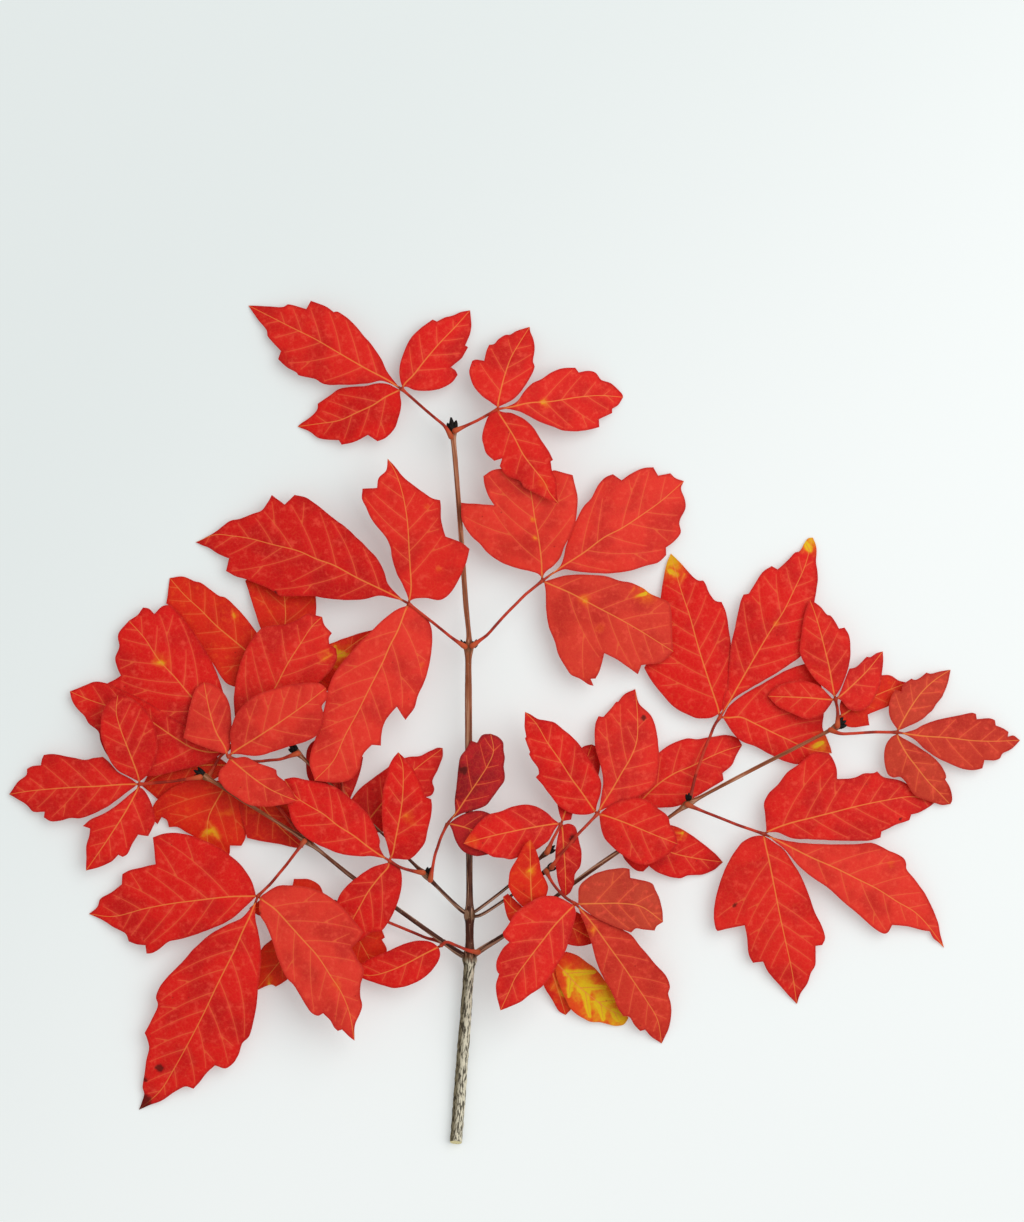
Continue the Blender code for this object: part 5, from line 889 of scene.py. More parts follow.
class Leaflet:
    """One leaflet: its rib, margins and veins from above, and the curved plane that it lies in."""

    def __init__(self, packed, hub, texts, settings, random):
        self.hub = hub
        rib, left, right = [points_of(text) for text in texts]
        tip = rib[-1]
        self.straight_rib = rib
        self.length = np.linalg.norm(tip - hub)
        self.axis = (tip - hub) / self.length
        self.fit(packed, np.vstack([left, right]))
        base = hub + BASE_SHARE * (rib[0] - hub)
        self.rib = curve_through(np.vstack([base, rib]), RIB_STEP)
        margins = [cornered_curve(np.vstack([base, side, tip]), OUTLINE_STEP) for side in (left, right)]
        self.outline = np.vstack([margins[0], margins[1][-2:0:-1]])
        self.fray()
        self.closed = np.vstack([self.outline, self.outline[:1]])
        self.veins = self.side_veins(settings, random)
        turns = random.uniform(0, 2 * math.pi, (len(WAVE_LENGTHS), 2))
        self.waves = [(2 * math.pi / size, *turn) for size, turn in zip(WAVE_LENGTHS, turns)]

    def reach(self, places):
        return (places - self.hub) @ self.axis

    def curve(self, places):
        """The blade's bow along its rib, and the droop of its margins."""
        share = np.clip(self.reach(places) / self.length, 0, 1)
        bow = BOW * self.length * 4 * share * (1 - share)
        return bow - MARGIN_DROOP * distance_to_line(self.straight_rib, places)

    def fit(self, packed, places):
        """Reads the hub's height and the blade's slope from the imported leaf's own margin."""
        found = []
        for place in places:
            near = packed[np.abs(packed[:, :2] - place).max(1) < MATCH, 2]
            if len(near) and abs(np.ptp(near) - BLADE_THICKNESS) < MATCH:
                found.append((*place, near.max() - BLADE_THICKNESS / 2))
        found = np.array(found)
        if len(found) < LEAST_FOUND:
            raise RuntimeError("a leaflet has no packed margin to take its height from")
        terms = np.column_stack([np.ones(len(found)), self.reach(found[:, :2])])
        plain = found[:, 2] - self.curve(found[:, :2])
        (self.hub_height, self.pitch), *_ = np.linalg.lstsq(terms, plain, rcond=None)

    def height(self, places):
        return self.hub_height + self.pitch * self.reach(places) + self.curve(places)

    def fray(self):
        """Makes the margin a little uneven, but not at its base."""
        for place in self.outline[1:]:
            at = Vector((*place, 0)) / FRAY_LENGTH
            place += MARGIN_FRAY * np.array(noise.noise_vector(at)[:2])

    def side_veins(self, settings, random):
        """Side veins that leave the rib in turn on its two sides, with a branch on the longer ones."""
        arcs = arc_lengths(self.rib)
        least, grows = SPACING_SHARE
        spacing = settings.vein_spacing / MM * (least + grows * min(arcs[-1] / LONG_LEAFLET, 1))
        steepest, eases = VEIN_LEAN
        veins = []
        for side in (-1, 1):
            at = spacing * FIRST_VEIN[side]
            while at < arcs[-1] - spacing / 2:
                knot = int(np.searchsorted(arcs, at))
                way = self.rib[min(knot + 1, len(self.rib) - 1)] - self.rib[knot - 1]
                heading = math.atan2(way[1], way[0])
                angle = settings.vein_angle * (steepest - eases * at / arcs[-1])
                angle += random.uniform(-VEIN_STRAY, VEIN_STRAY)
                curl = -side * VEIN_CURL * random.uniform(*CURL_DRAW)
                vein = self.walk(self.rib[knot], heading + side * angle, curl, veins)
                at += spacing * random.uniform(*SPACING_DRAW)
                if len(vein) < LEAST_VEIN:
                    continue
                veins.append(vein)
                if arc_lengths(vein)[-1] > BRANCH_FROM:
                    fork = int(len(vein) * random.uniform(*BRANCH_DRAW))
                    way = vein[fork] - vein[fork - 1]
                    turned = math.atan2(way[1], way[0]) + side * BRANCH_ANGLE
                    branch = self.walk(vein[fork], turned, curl, veins)
                    if len(branch) > LEAST_VEIN:
                        veins.append(branch)
        return veins

    def walk(self, start, heading, curl, others):
        """A vein from its start in a steady curve, until it nears the margin or another vein."""
        headings = heading + curl * np.arange(VEIN_STEPS)
        ways = VEIN_STEP * np.column_stack([np.cos(headings), np.sin(headings)])
        line = np.vstack([start, start + np.cumsum(ways, axis=0)])
        open_way = inside(self.outline, line) & (distance_to_line(self.closed, line) > VEIN_GAP)
        for other in others:
            open_way &= distance_to_line(other, line) > VEIN_CLEAR
        open_way[:LEAST_VEIN] |= inside(self.outline, line[:LEAST_VEIN])
        stop = len(line) if open_way.all() else int(np.argmin(open_way))
        return line[:stop]

    def flanks(self, guides):
        """Points close by on both sides of each rib and vein, which keep its edges crisp."""
        places = []
        for line in guides:
            ways = np.gradient(line, axis=0)
            ways /= np.linalg.norm(ways, axis=1)[:, None]
            aside = FLANK * np.column_stack([-ways[:, 1], ways[:, 0]])
            places += [line + aside, line - aside]
        return self.clear_of([self.closed, *guides], np.vstack(places), FLANK_CLEAR * FLANK)

    def clear_of(self, guides, places, gap):
        """The places inside the blade that keep the gap from every guide."""
        places = places[inside(self.outline, places)]
        for guide in guides:
            places = places[distance_to_line(guide, places) > gap]
        return places

    def scattered(self, guides):
        """Points in a honeycomb over the blade, clear of its margin and veins."""
        low, high = self.outline.min(0), self.outline.max(0)
        rows = np.arange(low[1], high[1], GRID * math.sqrt(3) / 2)
        places = [
            (x, y) for row, y in enumerate(rows)
            for x in np.arange(low[0] + GRID / 2 * (row % 2), high[0], GRID)
        ]
        return self.clear_of(guides, np.array(places), GRID_CLEAR)

    def triangles(self):
        """The blade's points and triangles from above, split along its rib and its veins."""
        ring = self.outline
        lines = [self.rib, *self.veins]
        loose = np.vstack([self.flanks(lines), self.scattered([self.closed, *lines])])
        tip = int(np.argmin(np.linalg.norm(ring - self.rib[-1], axis=1)))
        inner = self.rib[1:-1]
        chain = [0, *range(len(ring), len(ring) + len(inner)), tip]
        places, edges = [ring, inner], list(zip(chain, chain[1:]))
        count = len(ring) + len(inner)
        for vein in self.veins:
            chain = range(count, count + len(vein) - 1)
            edges += zip(chain, chain[1:])
            places.append(vein[1:])
            count += len(chain)
        flat = [Vector(place) for place in np.vstack([*places, loose])]
        border = [list(range(len(ring)))]
        points, _, triangles, *_ = delaunay_2d_cdt(flat, edges, border, INSIDE_ONLY, MERGE_GAP)
        return np.array([tuple(point) for point in points]), [tuple(face) for face in triangles]

    def rise(self, places):
        """The slow wave of the blade, which grows from its rib to its margins."""
        lift = sum(
            np.sin(size * (places @ (math.cos(turn), math.sin(turn))) + shift)
            for size, turn, shift in self.waves
        ) / len(self.waves)
        return lift * fade(distance_to_line(self.rib, places), 0, WAVE_REACH)


class Piece:
    """Gathers the points, faces and marks of one piece, in millimetres."""

    MARKS = tuple(dict.fromkeys(LEAF_MARKS + BARK_MARKS))

    def __init__(self):
        self.points, self.faces, self.finishes, self.count = [], [], [], 0
        self.marks = {mark: [] for mark in self.MARKS}

    def add(self, points, faces, finish=0, **marks):
        self.points.append(points)
        for face in faces:
            self.faces.append([index + self.count for index in face])
        self.finishes += [finish] * len(faces)
        for mark in self.MARKS:
            self.marks[mark].append(np.broadcast_to(marks.get(mark, 0.0), len(points)))
        self.count += len(points)

    def build(self, name, materials, used):
        """Makes the object, keeping only the marks that its materials use."""
        mesh = bpy.data.meshes.new(name)
        mesh.from_pydata(np.vstack(self.points) * MM, [], self.faces)
        mesh.polygons.foreach_set("material_index", self.finishes)
        mesh.polygons.foreach_set("use_smooth", [True] * len(self.faces))
        mesh.set_sharp_from_angle(angle=SHARP_EDGE)
        for mark in used:
            attribute = mesh.attributes.new(mark, "FLOAT", "POINT")
            attribute.data.foreach_set("value", np.float32(np.concatenate(self.marks[mark])))
        for material in materials:
            mesh.materials.append(material)
        mesh.validate()
        made = bpy.data.objects.new(name, mesh)
        bpy.context.scene.collection.objects.link(made)
        return made


def tube(knots, radii, sides):
    """Points and faces of a closed round tube, and each point's angle round it."""
    points, angles, faces = [], [], []
    along = Vector(knots[1] - knots[0]).normalized()
    across = along.orthogonal().normalized()
    for i, (knot, radius) in enumerate(zip(knots, radii)):
        ahead = Vector(knots[min(i + 1, len(knots) - 1)] - knots[max(i - 1, 0)]).normalized()
        across.rotate(along.rotation_difference(ahead))
        along = ahead
        up = along.cross(across)
        for side in range(sides):
            angle = 2 * math.pi * side / sides
            spoke = math.cos(angle) * across + math.sin(angle) * up
            points.append(knot + np.array(spoke) * radius)
            angles.append(angle)
    for ring in range(len(knots) - 1):
        for side in range(sides):
            a, b = ring * sides + side, ring * sides + (side + 1) % sides
            faces.append((a, b, b + sides, a + sides))
    faces.append(list(range(sides))[::-1])
    faces.append([len(points) - sides + side for side in range(sides)])
    return np.array(points), faces, np.array(angles)


def spots(text, places):
    """How strong a list of round spots is at each place. A spot ends at twice its radius."""
    found = np.zeros(len(places))
    for x, y, radius in points_of(text):
        away = np.linalg.norm(places - (x, y), axis=1)
        strength = np.clip(radius / SPOT_REACH, *SPOT_STRENGTH)
        found = np.maximum(found, strength * np.clip(1 - away / (2 * radius), 0, 1))
    return found


def add_blade(piece, leaflet, look, tone, dull, settings):
    """One leaflet's two faces and its thin edge."""
    places, triangles = leaflet.triangles()
    share = np.clip(leaflet.reach(places) / leaflet.length, 0, 1)
    rib_away = distance_to_line(leaflet.rib, places)
    rib = distance_to_line(leaflet.rib, places, RIB_WIDTH)
    vein_away = np.full(len(places), FAR)
    vein = np.full(len(places), FAR)
    for line in leaflet.veins:
        vein_away = np.minimum(vein_away, distance_to_line(line, places))
        vein = np.minimum(vein, distance_to_line(line, places, VEIN_WIDTH))
    margin = distance_to_line(leaflet.closed, places)

    between_veins = fade(np.minimum(vein_away, rib_away), 0, QUILT_REACH)
    middle = leaflet.height(places) + settings.wave / MM * leaflet.rise(places) + QUILT * between_veins
    half = settings.thickness / MM / 2
    on_rib = np.exp(-((rib_away / RIB_SPREAD) ** 2))
    on_vein = np.exp(-((vein_away / VEIN_SPREAD) ** 2))
    top = middle + half - RIB_SUNK * on_rib - VEIN_SUNK * on_vein
    bottom = middle - half - RIB_KEEL * (1 - KEEL_TAPER * share) * on_rib - VEIN_KEEL * on_vein
    full = fade(margin, 0, MARGIN_REACH)
    bottom = bottom * full + (top - MARGIN_SHARE * settings.thickness / MM) * (1 - full)

    total = len(places)
    sides = {edge: None for a, b, c in triangles for edge in ((a, b), (b, c), (c, a))}
    walls = [(a, a + total, b + total, b) for a, b in sides if (b, a) not in sides]
    faces = triangles + [(c + total, b + total, a + total) for a, b, c in triangles] + walls
    points = np.vstack([np.column_stack([places, top]), np.column_stack([places, bottom])])
    gold, brown = [spots(look.get(kind, ""), places) for kind in ("gold", "brown")]
    marks = dict(rib=rib, vein=vein, margin=margin, gold=gold, brown=brown)
    doubled = {mark: np.tile(values, 2) for mark, values in marks.items()}
    under = np.repeat((0.0, 1.0), total)
    piece.add(points, faces, 0, tone=tone, dull=dull, under=under, **doubled)


def stalk_line(leaf, packed, hub_height):
    """The stalk's knots from the twig to the hub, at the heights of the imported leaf's own stalk."""
    route = np.vstack([points_of(leaf["stalk"]), points_of(leaf["hub"])])
    knots = between(route, STALK_STEP)
    heights = np.full(len(knots), np.nan)
    for i, knot in enumerate(knots[:-1]):
        near = np.linalg.norm(packed[:, :2] - knot, axis=1) < STALK_RADIUS + MATCH
        if near.sum() >= LEAST_FOUND:
            heights[i] = packed[near, 2].mean()
    heights[-1] = hub_height
    known = ~np.isnan(heights)
    steps = np.arange(len(knots))
    return np.column_stack([knots, np.interp(steps, steps[known], heights[known])])


def twig_height(place):
    """The height of the twig's axis at the point nearest the place."""
    line = np.vstack([between(np.array(length), HEIGHT_STEP) for length in TWIG])
    return line[np.linalg.norm(line[:, :2] - place, axis=1).argmin(), 2]


def add_stalks(piece, leaf, packed, leaflets, settings):
    """The leaf's stalk, swollen where it leaves the twig, and the short stalk of each leaflet."""
    hub = points_of(leaf["hub"])[0]
    hub_height = np.mean([leaflet.hub_height for leaflet in leaflets])
    knots = stalk_line(leaf, packed, hub_height)
    seat = np.array([*knots[0, :2], twig_height(knots[0, :2])])
    seat[2] = knots[0, 2] + SEAT_DEPTH * np.clip(seat[2] - knots[0, 2], -1, 1)
    line = curve_through(np.vstack([seat, knots]), TUBE_STEP)
    arcs = arc_lengths(line)
    swells = ((arcs, *FOOT_SWELL), (arcs[-1] - arcs, *HUB_SWELL))
    swell = sum(height * np.exp(-((away / reach) ** 2)) for away, height, reach in swells)
    radii = settings.stalk_radius / MM * STALK_WAIST + swell
    points, faces, _ = tube(line, radii, STALK_SIDES)
    piece.add(points, faces, 1, knot=np.repeat(swell, STALK_SIDES))
    for leaflet in leaflets:
        places = np.vstack([hub, leaflet.rib[:LEAFLET_STALK_POINTS]])
        heights = leaflet.height(places) - LEAFLET_STALK_DROP
        heights[0] = hub_height
        line = curve_through(np.column_stack([places, heights]), TUBE_STEP)
        radii = np.linspace(*LEAFLET_STALK, len(line))
        points, faces, _ = tube(line, radii, LEAFLET_STALK_SIDES)
        piece.add(points, faces, 1, knot=0.0)


def add(tree, kind, inputs=None, **settings):
    """Adds one node: settings are its properties, and inputs its sockets' values or what feeds them."""
    made = tree.nodes.new(kind)
    for name, value in settings.items():
        setattr(made, name, value)
    for name, value in (inputs or {}).items():
        if isinstance(value, bpy.types.NodeSocket):
            tree.links.new(value, made.inputs[name])
        else:
            made.inputs[name].default_value = value
    return made


def new_material(name, roughness, ior):
    """An empty material: its node tree, its shader, and where each point lies in metres."""
    material = bpy.data.materials.new(name)
    material.use_nodes = True
    tree = material.node_tree
    shader = tree.nodes["Principled BSDF"]
    shader.inputs["Roughness"].default_value = roughness
    shader.inputs["IOR"].default_value = ior
    where = add(tree, "ShaderNodeTexCoord").outputs["Object"]
    return material, tree, shader, where


def per(size):
    """The texture scale that gives a pattern its real size in millimetres."""
    return 1 / (size * MM)


def layered(tree, colour, layers):
    """Lays colours on a first one. A layer is a value, the two ends of its smooth step, the share that the
    step reaches, and its colour."""
    for value, start, end, share, laid in layers:
        limits = {"Value": value, "From Min": start, "From Max": end, "To Max": share}
        step = add(tree, "ShaderNodeMapRange", limits, interpolation_type="SMOOTHSTEP").outputs["Result"]
        inputs = {0: step, 6: colour, 7: (*laid, 1)}
        colour = add(tree, "ShaderNodeMix", inputs, data_type="RGBA").outputs[2]
    return colour


def leaf_material(name, body, deep, light, settings):
    """Autumn leaf blade, grown, flushed red and air-dried. Thin and matt, with a faint waxy gleam: it
    reads as one strong colour from a step away, and as mottled tissue between fine veins up close."""
    material, tree, shader, where = new_material(name, 0.5, 1.45)
    # Dry hairs and wax scatter most of the mirror-like gleam, so it veils the red only a little.
    shader.inputs["Specular IOR Level"].default_value = 0.09
    marks = {
        mark: add(tree, "ShaderNodeAttribute", attribute_name=mark).outputs["Fac"]
        for mark in LEAF_MARKS
    }
    broad = add(tree, "ShaderNodeTexNoise", {"Vector": where, "Scale": per(13), "Detail": 3}).outputs["Fac"]
    fleck = add(
        tree, "ShaderNodeTexNoise", {"Vector": where, "Scale": per(2.4), "Detail": 5, "Roughness": 0.62}
    ).outputs["Fac"]
    net = add(
        tree, "ShaderNodeTexVoronoi", {"Vector": where, "Scale": per(1.5)}, feature="DISTANCE_TO_EDGE"
    ).outputs["Distance"]
    pin = add(tree, "ShaderNodeTexVoronoi", {"Vector": where, "Scale": per(6.5)}).outputs["Distance"]
    # Gold lingers along the veins, and red creeps into it between them.
    by_vein = add(tree, "ShaderNodeMapRange", {
        "Value": marks["vein"], "From Min": 11, "From Max": 1, "To Min": 0.55, "To Max": 1,
    }).outputs["Result"]
    kept = add(tree, "ShaderNodeMath", {0: marks["gold"], 1: by_vein}, operation="MULTIPLY").outputs[0]
    gold_at = add(tree, "ShaderNodeMath", {0: fleck, 1: 0.6, 2: kept}, operation="MULTIPLY_ADD").outputs[0]
    brown_at = add(
        tree, "ShaderNodeMath", {0: fleck, 1: 0.8, 2: marks["brown"]}, operation="MULTIPLY_ADD"
    ).outputs[0]
    colour = layered(tree, (*body, 1), (
        (marks["tone"], 0.5, 0, 0.9, deep),
        (marks["tone"], 0.5, 1, 0.6, light),
        (marks["dull"], 0, 1, 1, linear("#ad4b33")),
        (broad, 0.42, 0.68, 0.45, deep),
        (fleck, 0.5, 0.72, 0.5, light),
        (marks["vein"], 10, 1, 0.2, light),
        (marks["margin"], 1.1, 0.05, 0.45, deep),
        (gold_at, 0.5, 1.02, 0.8, linear("#e8651c")),
        (gold_at, 0.8, 1.26, 1, settings.gold),
        (net, 0.07, 0.01, 0.12, settings.vein),
        (pin, 0.06, 0.03, 0.5, linear("#8a1c14")),
        (marks["vein"], 1.8, 0.4, 0.55, settings.vein),
        (marks["rib"], 1.5, 0.5, 0.7, linear("#ef8c42")),
        (brown_at, 0.85, 1.15, 0.85, linear("#4a130f")),
        (marks["under"], 0.4, 0.6, 0.5, linear("#cd7263")),
    ))
    tree.links.new(colour, shader.inputs["Base Color"])
    gleam = add(tree, "ShaderNodeMapRange", {"Value": fleck, "To Min": 0.34, "To Max": 0.66})
    tree.links.new(gleam.outputs["Result"], shader.inputs["Roughness"])
    grain = add(tree, "ShaderNodeTexNoise", {"Vector": where, "Scale": per(0.35), "Detail": 2}).outputs["Fac"]
    # The fine net of veins stands four times as high as the grain.
    relief = add(tree, "ShaderNodeMath", {0: net, 1: 4.0, 2: grain}, operation="MULTIPLY_ADD").outputs[0]
    bump = add(tree, "ShaderNodeBump", {"Height": relief, "Strength": 0.3, "Distance": 0.1 * MM})
    tree.links.new(bump.outputs["Normal"], shader.inputs["Normal"])
    return material


def stalk_material():
    """Leaf stalk, grown and still fresh: smooth red-brown skin with a soft gleam, orange where it swells
    towards the twig."""
    material, tree, shader, where = new_material("leaf stalk, grown, smooth skin", 0.42, 1.45)
    shader.inputs["Specular IOR Level"].default_value = 0.16
    knot = add(tree, "ShaderNodeAttribute", attribute_name="knot").outputs["Fac"]
    streak = add(tree, "ShaderNodeTexNoise", {"Vector": where, "Scale": per(6), "Detail": 3}).outputs["Fac"]
    colour = layered(tree, (*linear("#c23c26"), 1), (
        (streak, 0.42, 0.6, 0.85, linear("#86241a")),
        (knot, 0.05, 0.4, 0.7, linear("#c05c34")),
    ))
    tree.links.new(colour, shader.inputs["Base Color"])
    bump = add(tree, "ShaderNodeBump", {"Height": streak, "Strength": 0.3, "Distance": 0.1 * MM})
    tree.links.new(bump.outputs["Normal"], shader.inputs["Normal"])
    return material


def bark_material(settings):
    """Maple bark, grown: matt, bleached and split by dark furrows on the old wood, with painted shade along
    one side, then smooth and dark brown, and red-brown to tan on this year's wood, with a soft gleam and with
    light and dark streaks along its length that are partly painted highlight and painted shade."""
    material, tree, shader, where = new_material("maple bark, grown, old and young", 0.5, 1.45)
    shader.inputs["Specular IOR Level"].default_value = 0.15
    marks = {
        mark: add(tree, "ShaderNodeAttribute", attribute_name=mark).outputs["Fac"]
        for mark in BARK_MARKS
    }
    age = marks["age"]
    # A place on the wood, in millimetres across it and along it.
    bark_at = add(tree, "ShaderNodeCombineXYZ", {0: marks["side"], 1: marks["over"], 2: marks["along"]})
    drawn = add(tree, "ShaderNodeMapping", {"Vector": bark_at.outputs[0], "Scale": (1.0, 1.0, 0.2)})
    furrow = add(
        tree, "ShaderNodeTexNoise", {"Vector": drawn.outputs[0], "Scale": 1 / FURROW_WIDTH, "Detail": 4}
    ).outputs["Fac"]
    long = add(tree, "ShaderNodeMapping", {"Vector": bark_at.outputs[0], "Scale": (1.0, 1.0, 0.04)})
    streak = add(
        tree, "ShaderNodeTexNoise", {"Vector": long.outputs[0], "Scale": 1 / STREAK_WIDTH, "Detail": 2}
    ).outputs["Fac"]
    blotch = add(tree, "ShaderNodeTexNoise", {"Vector": where, "Scale": per(5), "Detail": 3}).outputs["Fac"]
    pores = add(tree, "ShaderNodeTexVoronoi", {"Vector": where, "Scale": per(1.6)}).outputs["Distance"]
    # Old wood is pale, with painted shade that darkens one side of it, and it is dark and damp in its
    # furrows.
    old = layered(tree, (*settings.old_bark, 1), (
        (marks["side"], 1.9, 0.1, 0.85, linear("#675b3c")),
        (furrow, 0.46, 0.57, 0.88, linear("#2e2519")),
    ))
    young = layered(tree, (*settings.young_bark, 1), (
        (age, 0.1, 0.45, 1, linear("#95502f")),
        (age, 0.4, 0.7, 1, linear("#3a1a10")),
        (blotch, 0.42, 0.7, 0.22, linear("#a8735a")),
        # Light and dark streaks along the wood: partly the bark's own streaks, partly painted highlight and
        # painted shade of the round wood.
        (streak, 0.52, 0.62, 0.6, linear("#c99a7c")),
        (streak, 0.48, 0.38, 0.6, linear("#562a1a")),
        (pores, 0.16, 0.08, 0.3, linear("#c4a488")),
        (marks["knot"], 0.25, 0.9, 0.4, linear("#664c2e")),
    ))
    aged = add(tree, "ShaderNodeMapRange", {"Value": age, "From Min": 0.86, "From Max": 0.95}).outputs[0]
    bark = add(tree, "ShaderNodeMix", {0: aged, 6: young, 7: old}, data_type="RGBA").outputs[2]
    colour = layered(tree, bark, ((marks["tip"], 0.3, 0.7, 1, settings.bud),))
    tree.links.new(colour, shader.inputs["Base Color"])
    matt = add(tree, "ShaderNodeMapRange", {
        "Value": age, "From Min": 0.8, "From Max": 0.95, "To Min": 0.36, "To Max": 0.8,
    })
    tree.links.new(matt.outputs["Result"], shader.inputs["Roughness"])
    # A furrow is as deep as the wood is old.
    split = add(tree, "ShaderNodeMath", {0: furrow, 1: age}, operation="MULTIPLY").outputs[0]
    bump = add(tree, "ShaderNodeBump", {"Height": split, "Strength": 0.6, "Distance": 0.25 * MM}, invert=True)
    tree.links.new(bump.outputs["Normal"], shader.inputs["Normal"])
    return material


def cut_material():
    """Maple sapwood, cut with shears: pale yellow and matt, with darker flecks."""
    material, tree, shader, where = new_material("maple sapwood, sheared", 0.7, 1.45)
    flecks = add(tree, "ShaderNodeTexNoise", {"Vector": where, "Scale": per(0.6), "Detail": 3})
    colour = layered(tree, (*linear("#ece0aa"), 1), (
        (flecks.outputs["Fac"], 0.45, 0.7, 1, linear("#c9b06a")),
    ))
    tree.links.new(colour, shader.inputs["Base Color"])
    return material


def bud_material(settings):
    """Winter bud, grown: hard, near-black scales with a dull gleam, brown towards their base."""
    material, tree, shader, _ = new_material("winter bud scales, grown", 0.55, 1.45)
    shader.inputs["Specular IOR Level"].default_value = 0.2
    knot = add(tree, "ShaderNodeAttribute", attribute_name="knot").outputs["Fac"]
    colour = layered(tree, (*settings.bud, 1), ((knot, 0.2, 0, 0.4, linear("#3a2018")),))
    tree.links.new(colour, shader.inputs["Base Color"])
    return material


def table_material(settings):
    """Opal acrylic table, sanded matt, with a painted glow that lifts its shadows so that they stay faint,
    and painted shade that makes it a little darker towards the back left."""
    material, tree, shader, where = new_material("opal acrylic table, sanded, painted glow", 0.85, 1.45)
    shader.inputs["Specular IOR Level"].default_value = 0.2
    # Painted light: the table glows, which lifts the shadows under the leaves and lights them from below.
    shader.inputs["Emission Strength"].default_value = settings.table_glow
    # Painted shade: the table darkens a little towards the back left.
    lit = add(tree, "ShaderNodeVectorMath", {0: where, 1: (1.0, -1.0, 0.0)}, operation="DOT_PRODUCT")
    colour = layered(tree, (*settings.table, 1), (
        (lit.outputs["Value"], 0.1, -0.3, 1, linear("#ccd2d1")),
    ))
    tree.links.new(colour, shader.inputs["Base Color"])
    tree.links.new(colour, shader.inputs["Emission Color"])
    return material


def seated(piece, node):
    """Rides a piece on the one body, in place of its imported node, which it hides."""
    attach(piece, "root")
    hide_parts(node)


def ages(line):
    """How old the wood is: 0 at the far ends, YOUNG_AGE by the lowest fork and 1 in the stem below it."""
    upper, lower = FORK_FADE
    below = fade(line[:, 1], OLD_FORK[1] + upper, OLD_FORK[1] + lower)
    away = np.linalg.norm(line[:, :3] - np.array(OLD_FORK), axis=1)
    young = YOUNG_AGE * (1 - np.clip(away / YOUNG_REACH, 0, 1)) ** YOUNG_CURVE
    return young * (1 - below) + below


def end_knot(length):
    """The thickest of a length's last knots, where its end bud starts."""
    return max(length[-3:], key=lambda knot: knot[3])


def knot_closeness(length, line):
    """How close each point of a length lies to one of its knots, where the radius is largest."""
    radii = [knot[3] for knot in length]
    closeness = np.zeros(len(line))
    for i in range(1, len(length) - 1):
        if radii[i] > max(radii[i - 1], radii[i + 1]) + KNOT_RISE:
            away = np.linalg.norm(line[:, :3] - length[i][:3], axis=1)
            closeness = np.maximum(closeness, np.exp(-((away / KNOT_REACH) ** 2)))
    return closeness


class MAPLE_OT_twig(bpy.types.Operator):
    """Grows the twig: its stem and branches with their bark, knots and sheared end"""

    bl_idname = "maple.twig"
    bl_label = "Twig"

    def execute(self, context):
        settings = context.scene.maple_twig
        piece = Piece()
        for length in TWIG:
            thick = length is STEM
            sides = BARK_SIDES[thick]
            line = curve_through(np.array(length), TUBE_STEP)
            line[:, 3] = np.maximum(line[:, 3], LEAST_RADIUS)
            age = ages(line)
            knot = knot_closeness(length, line)
            points, faces, angles = tube(line[:, :3], line[:, 3], sides)
            centres, age = np.repeat(line, sides, axis=0), np.repeat(age, sides)
            knot = np.repeat(knot, sides)
            rough = SMOOTH_BARK + OLD_BARK * fade(age, *OLD_AGES) + KNOT_BARK * knot
            for i, (point, angle) in enumerate(zip(points, angles)):
                x, y = BARK_ROUND * math.cos(angle), BARK_ROUND * math.sin(angle)
                at = Vector((x, y, point[1] * BARK_ALONG)) + Vector((centres[i, 0], 0, 0))
                lift = rough[i] * noise.noise(at)
                point += (point - centres[i, :3]) * lift
            # The stem's low end rests on a narrow flat.
            points[:, 2] = np.maximum(points[:, 2], 0)
            left = np.linalg.norm(line[:, :3] - line[-1, :3], axis=1)
            bud = np.linalg.norm(line[-1, :3] - end_knot(length)[:3])
            before, beyond = TIP_FADE
            tip = np.repeat(fade(left, bud + before, bud + beyond), sides)
            along = np.repeat(arc_lengths(line[:, :3]), sides)
            if thick:
                # Shears cut the stem's end on the slant.
                over_axis = (points[:, 2] - centres[:, 2]) / centres[:, 3]
                points[:, 1] += SHEAR_SLANT * (1 + over_axis) * np.clip(1 - along / SHEAR_REACH, 0, 1)
            piece.add(
                points, faces, 0, age=age, knot=knot, tip=tip, along=along,
                side=centres[:, 3] * np.cos(angles), over=centres[:, 3] * np.sin(angles),
            )
            if thick:
                # The stem's sheared end is its first cap.
                piece.finishes[-2] = 1
        made = piece.build("twig_bark", [bark_material(settings), cut_material()], BARK_MARKS)
        seated(made, "twig")
        return {"FINISHED"}


class MAPLE_OT_buds(bpy.types.Operator):
    """Sets the winter buds in the forks and at the tips, each a tuft of pointed scales"""

    bl_idname = "maple.buds"
    bl_label = "Buds"

    def execute(self, context):
        piece = Piece()
        random = np.random.default_rng(SEED)
        tips = [(*end_knot(length), *length[-1][:3]) for length in TWIG]
        share = np.linspace(0, 1, BUD_RINGS)
        # A scale is plump below its middle and runs out to a point.
        plump = (1 - share) ** 0.8 * (0.6 + 1.4 * share)
        for bud in (*BUDS, *tips):
            base, point = np.array(bud[:3]), np.array(bud[-3:])
            grown = TIP_GROWN * bud[3] if bud in tips else 1
            way = (point - base) / np.linalg.norm(point - base)
            aside = np.cross(way, (0, 0, 1))
            for lean, lift, size in BUD_SCALES:
                towards = way + lean * aside + np.array((0, 0, lift))
                height = BUD_HEIGHT * grown * size * random.uniform(*BUD_DRAW)
                foot = base + BUD_RADIUS * grown * lean * SCALE_SPREAD * aside
                line = foot + height * np.outer(share, towards)
                points, faces, _ = tube(line, BUD_RADIUS * grown * plump + SCALE_POINT, BUD_SIDES)
                piece.add(points, faces, 0, knot=np.repeat(share, BUD_SIDES))
        made = piece.build("winter_buds", [bud_material(context.scene.maple_twig)], ("knot",))
        seated(made, "twig")
        return {"FINISHED"}


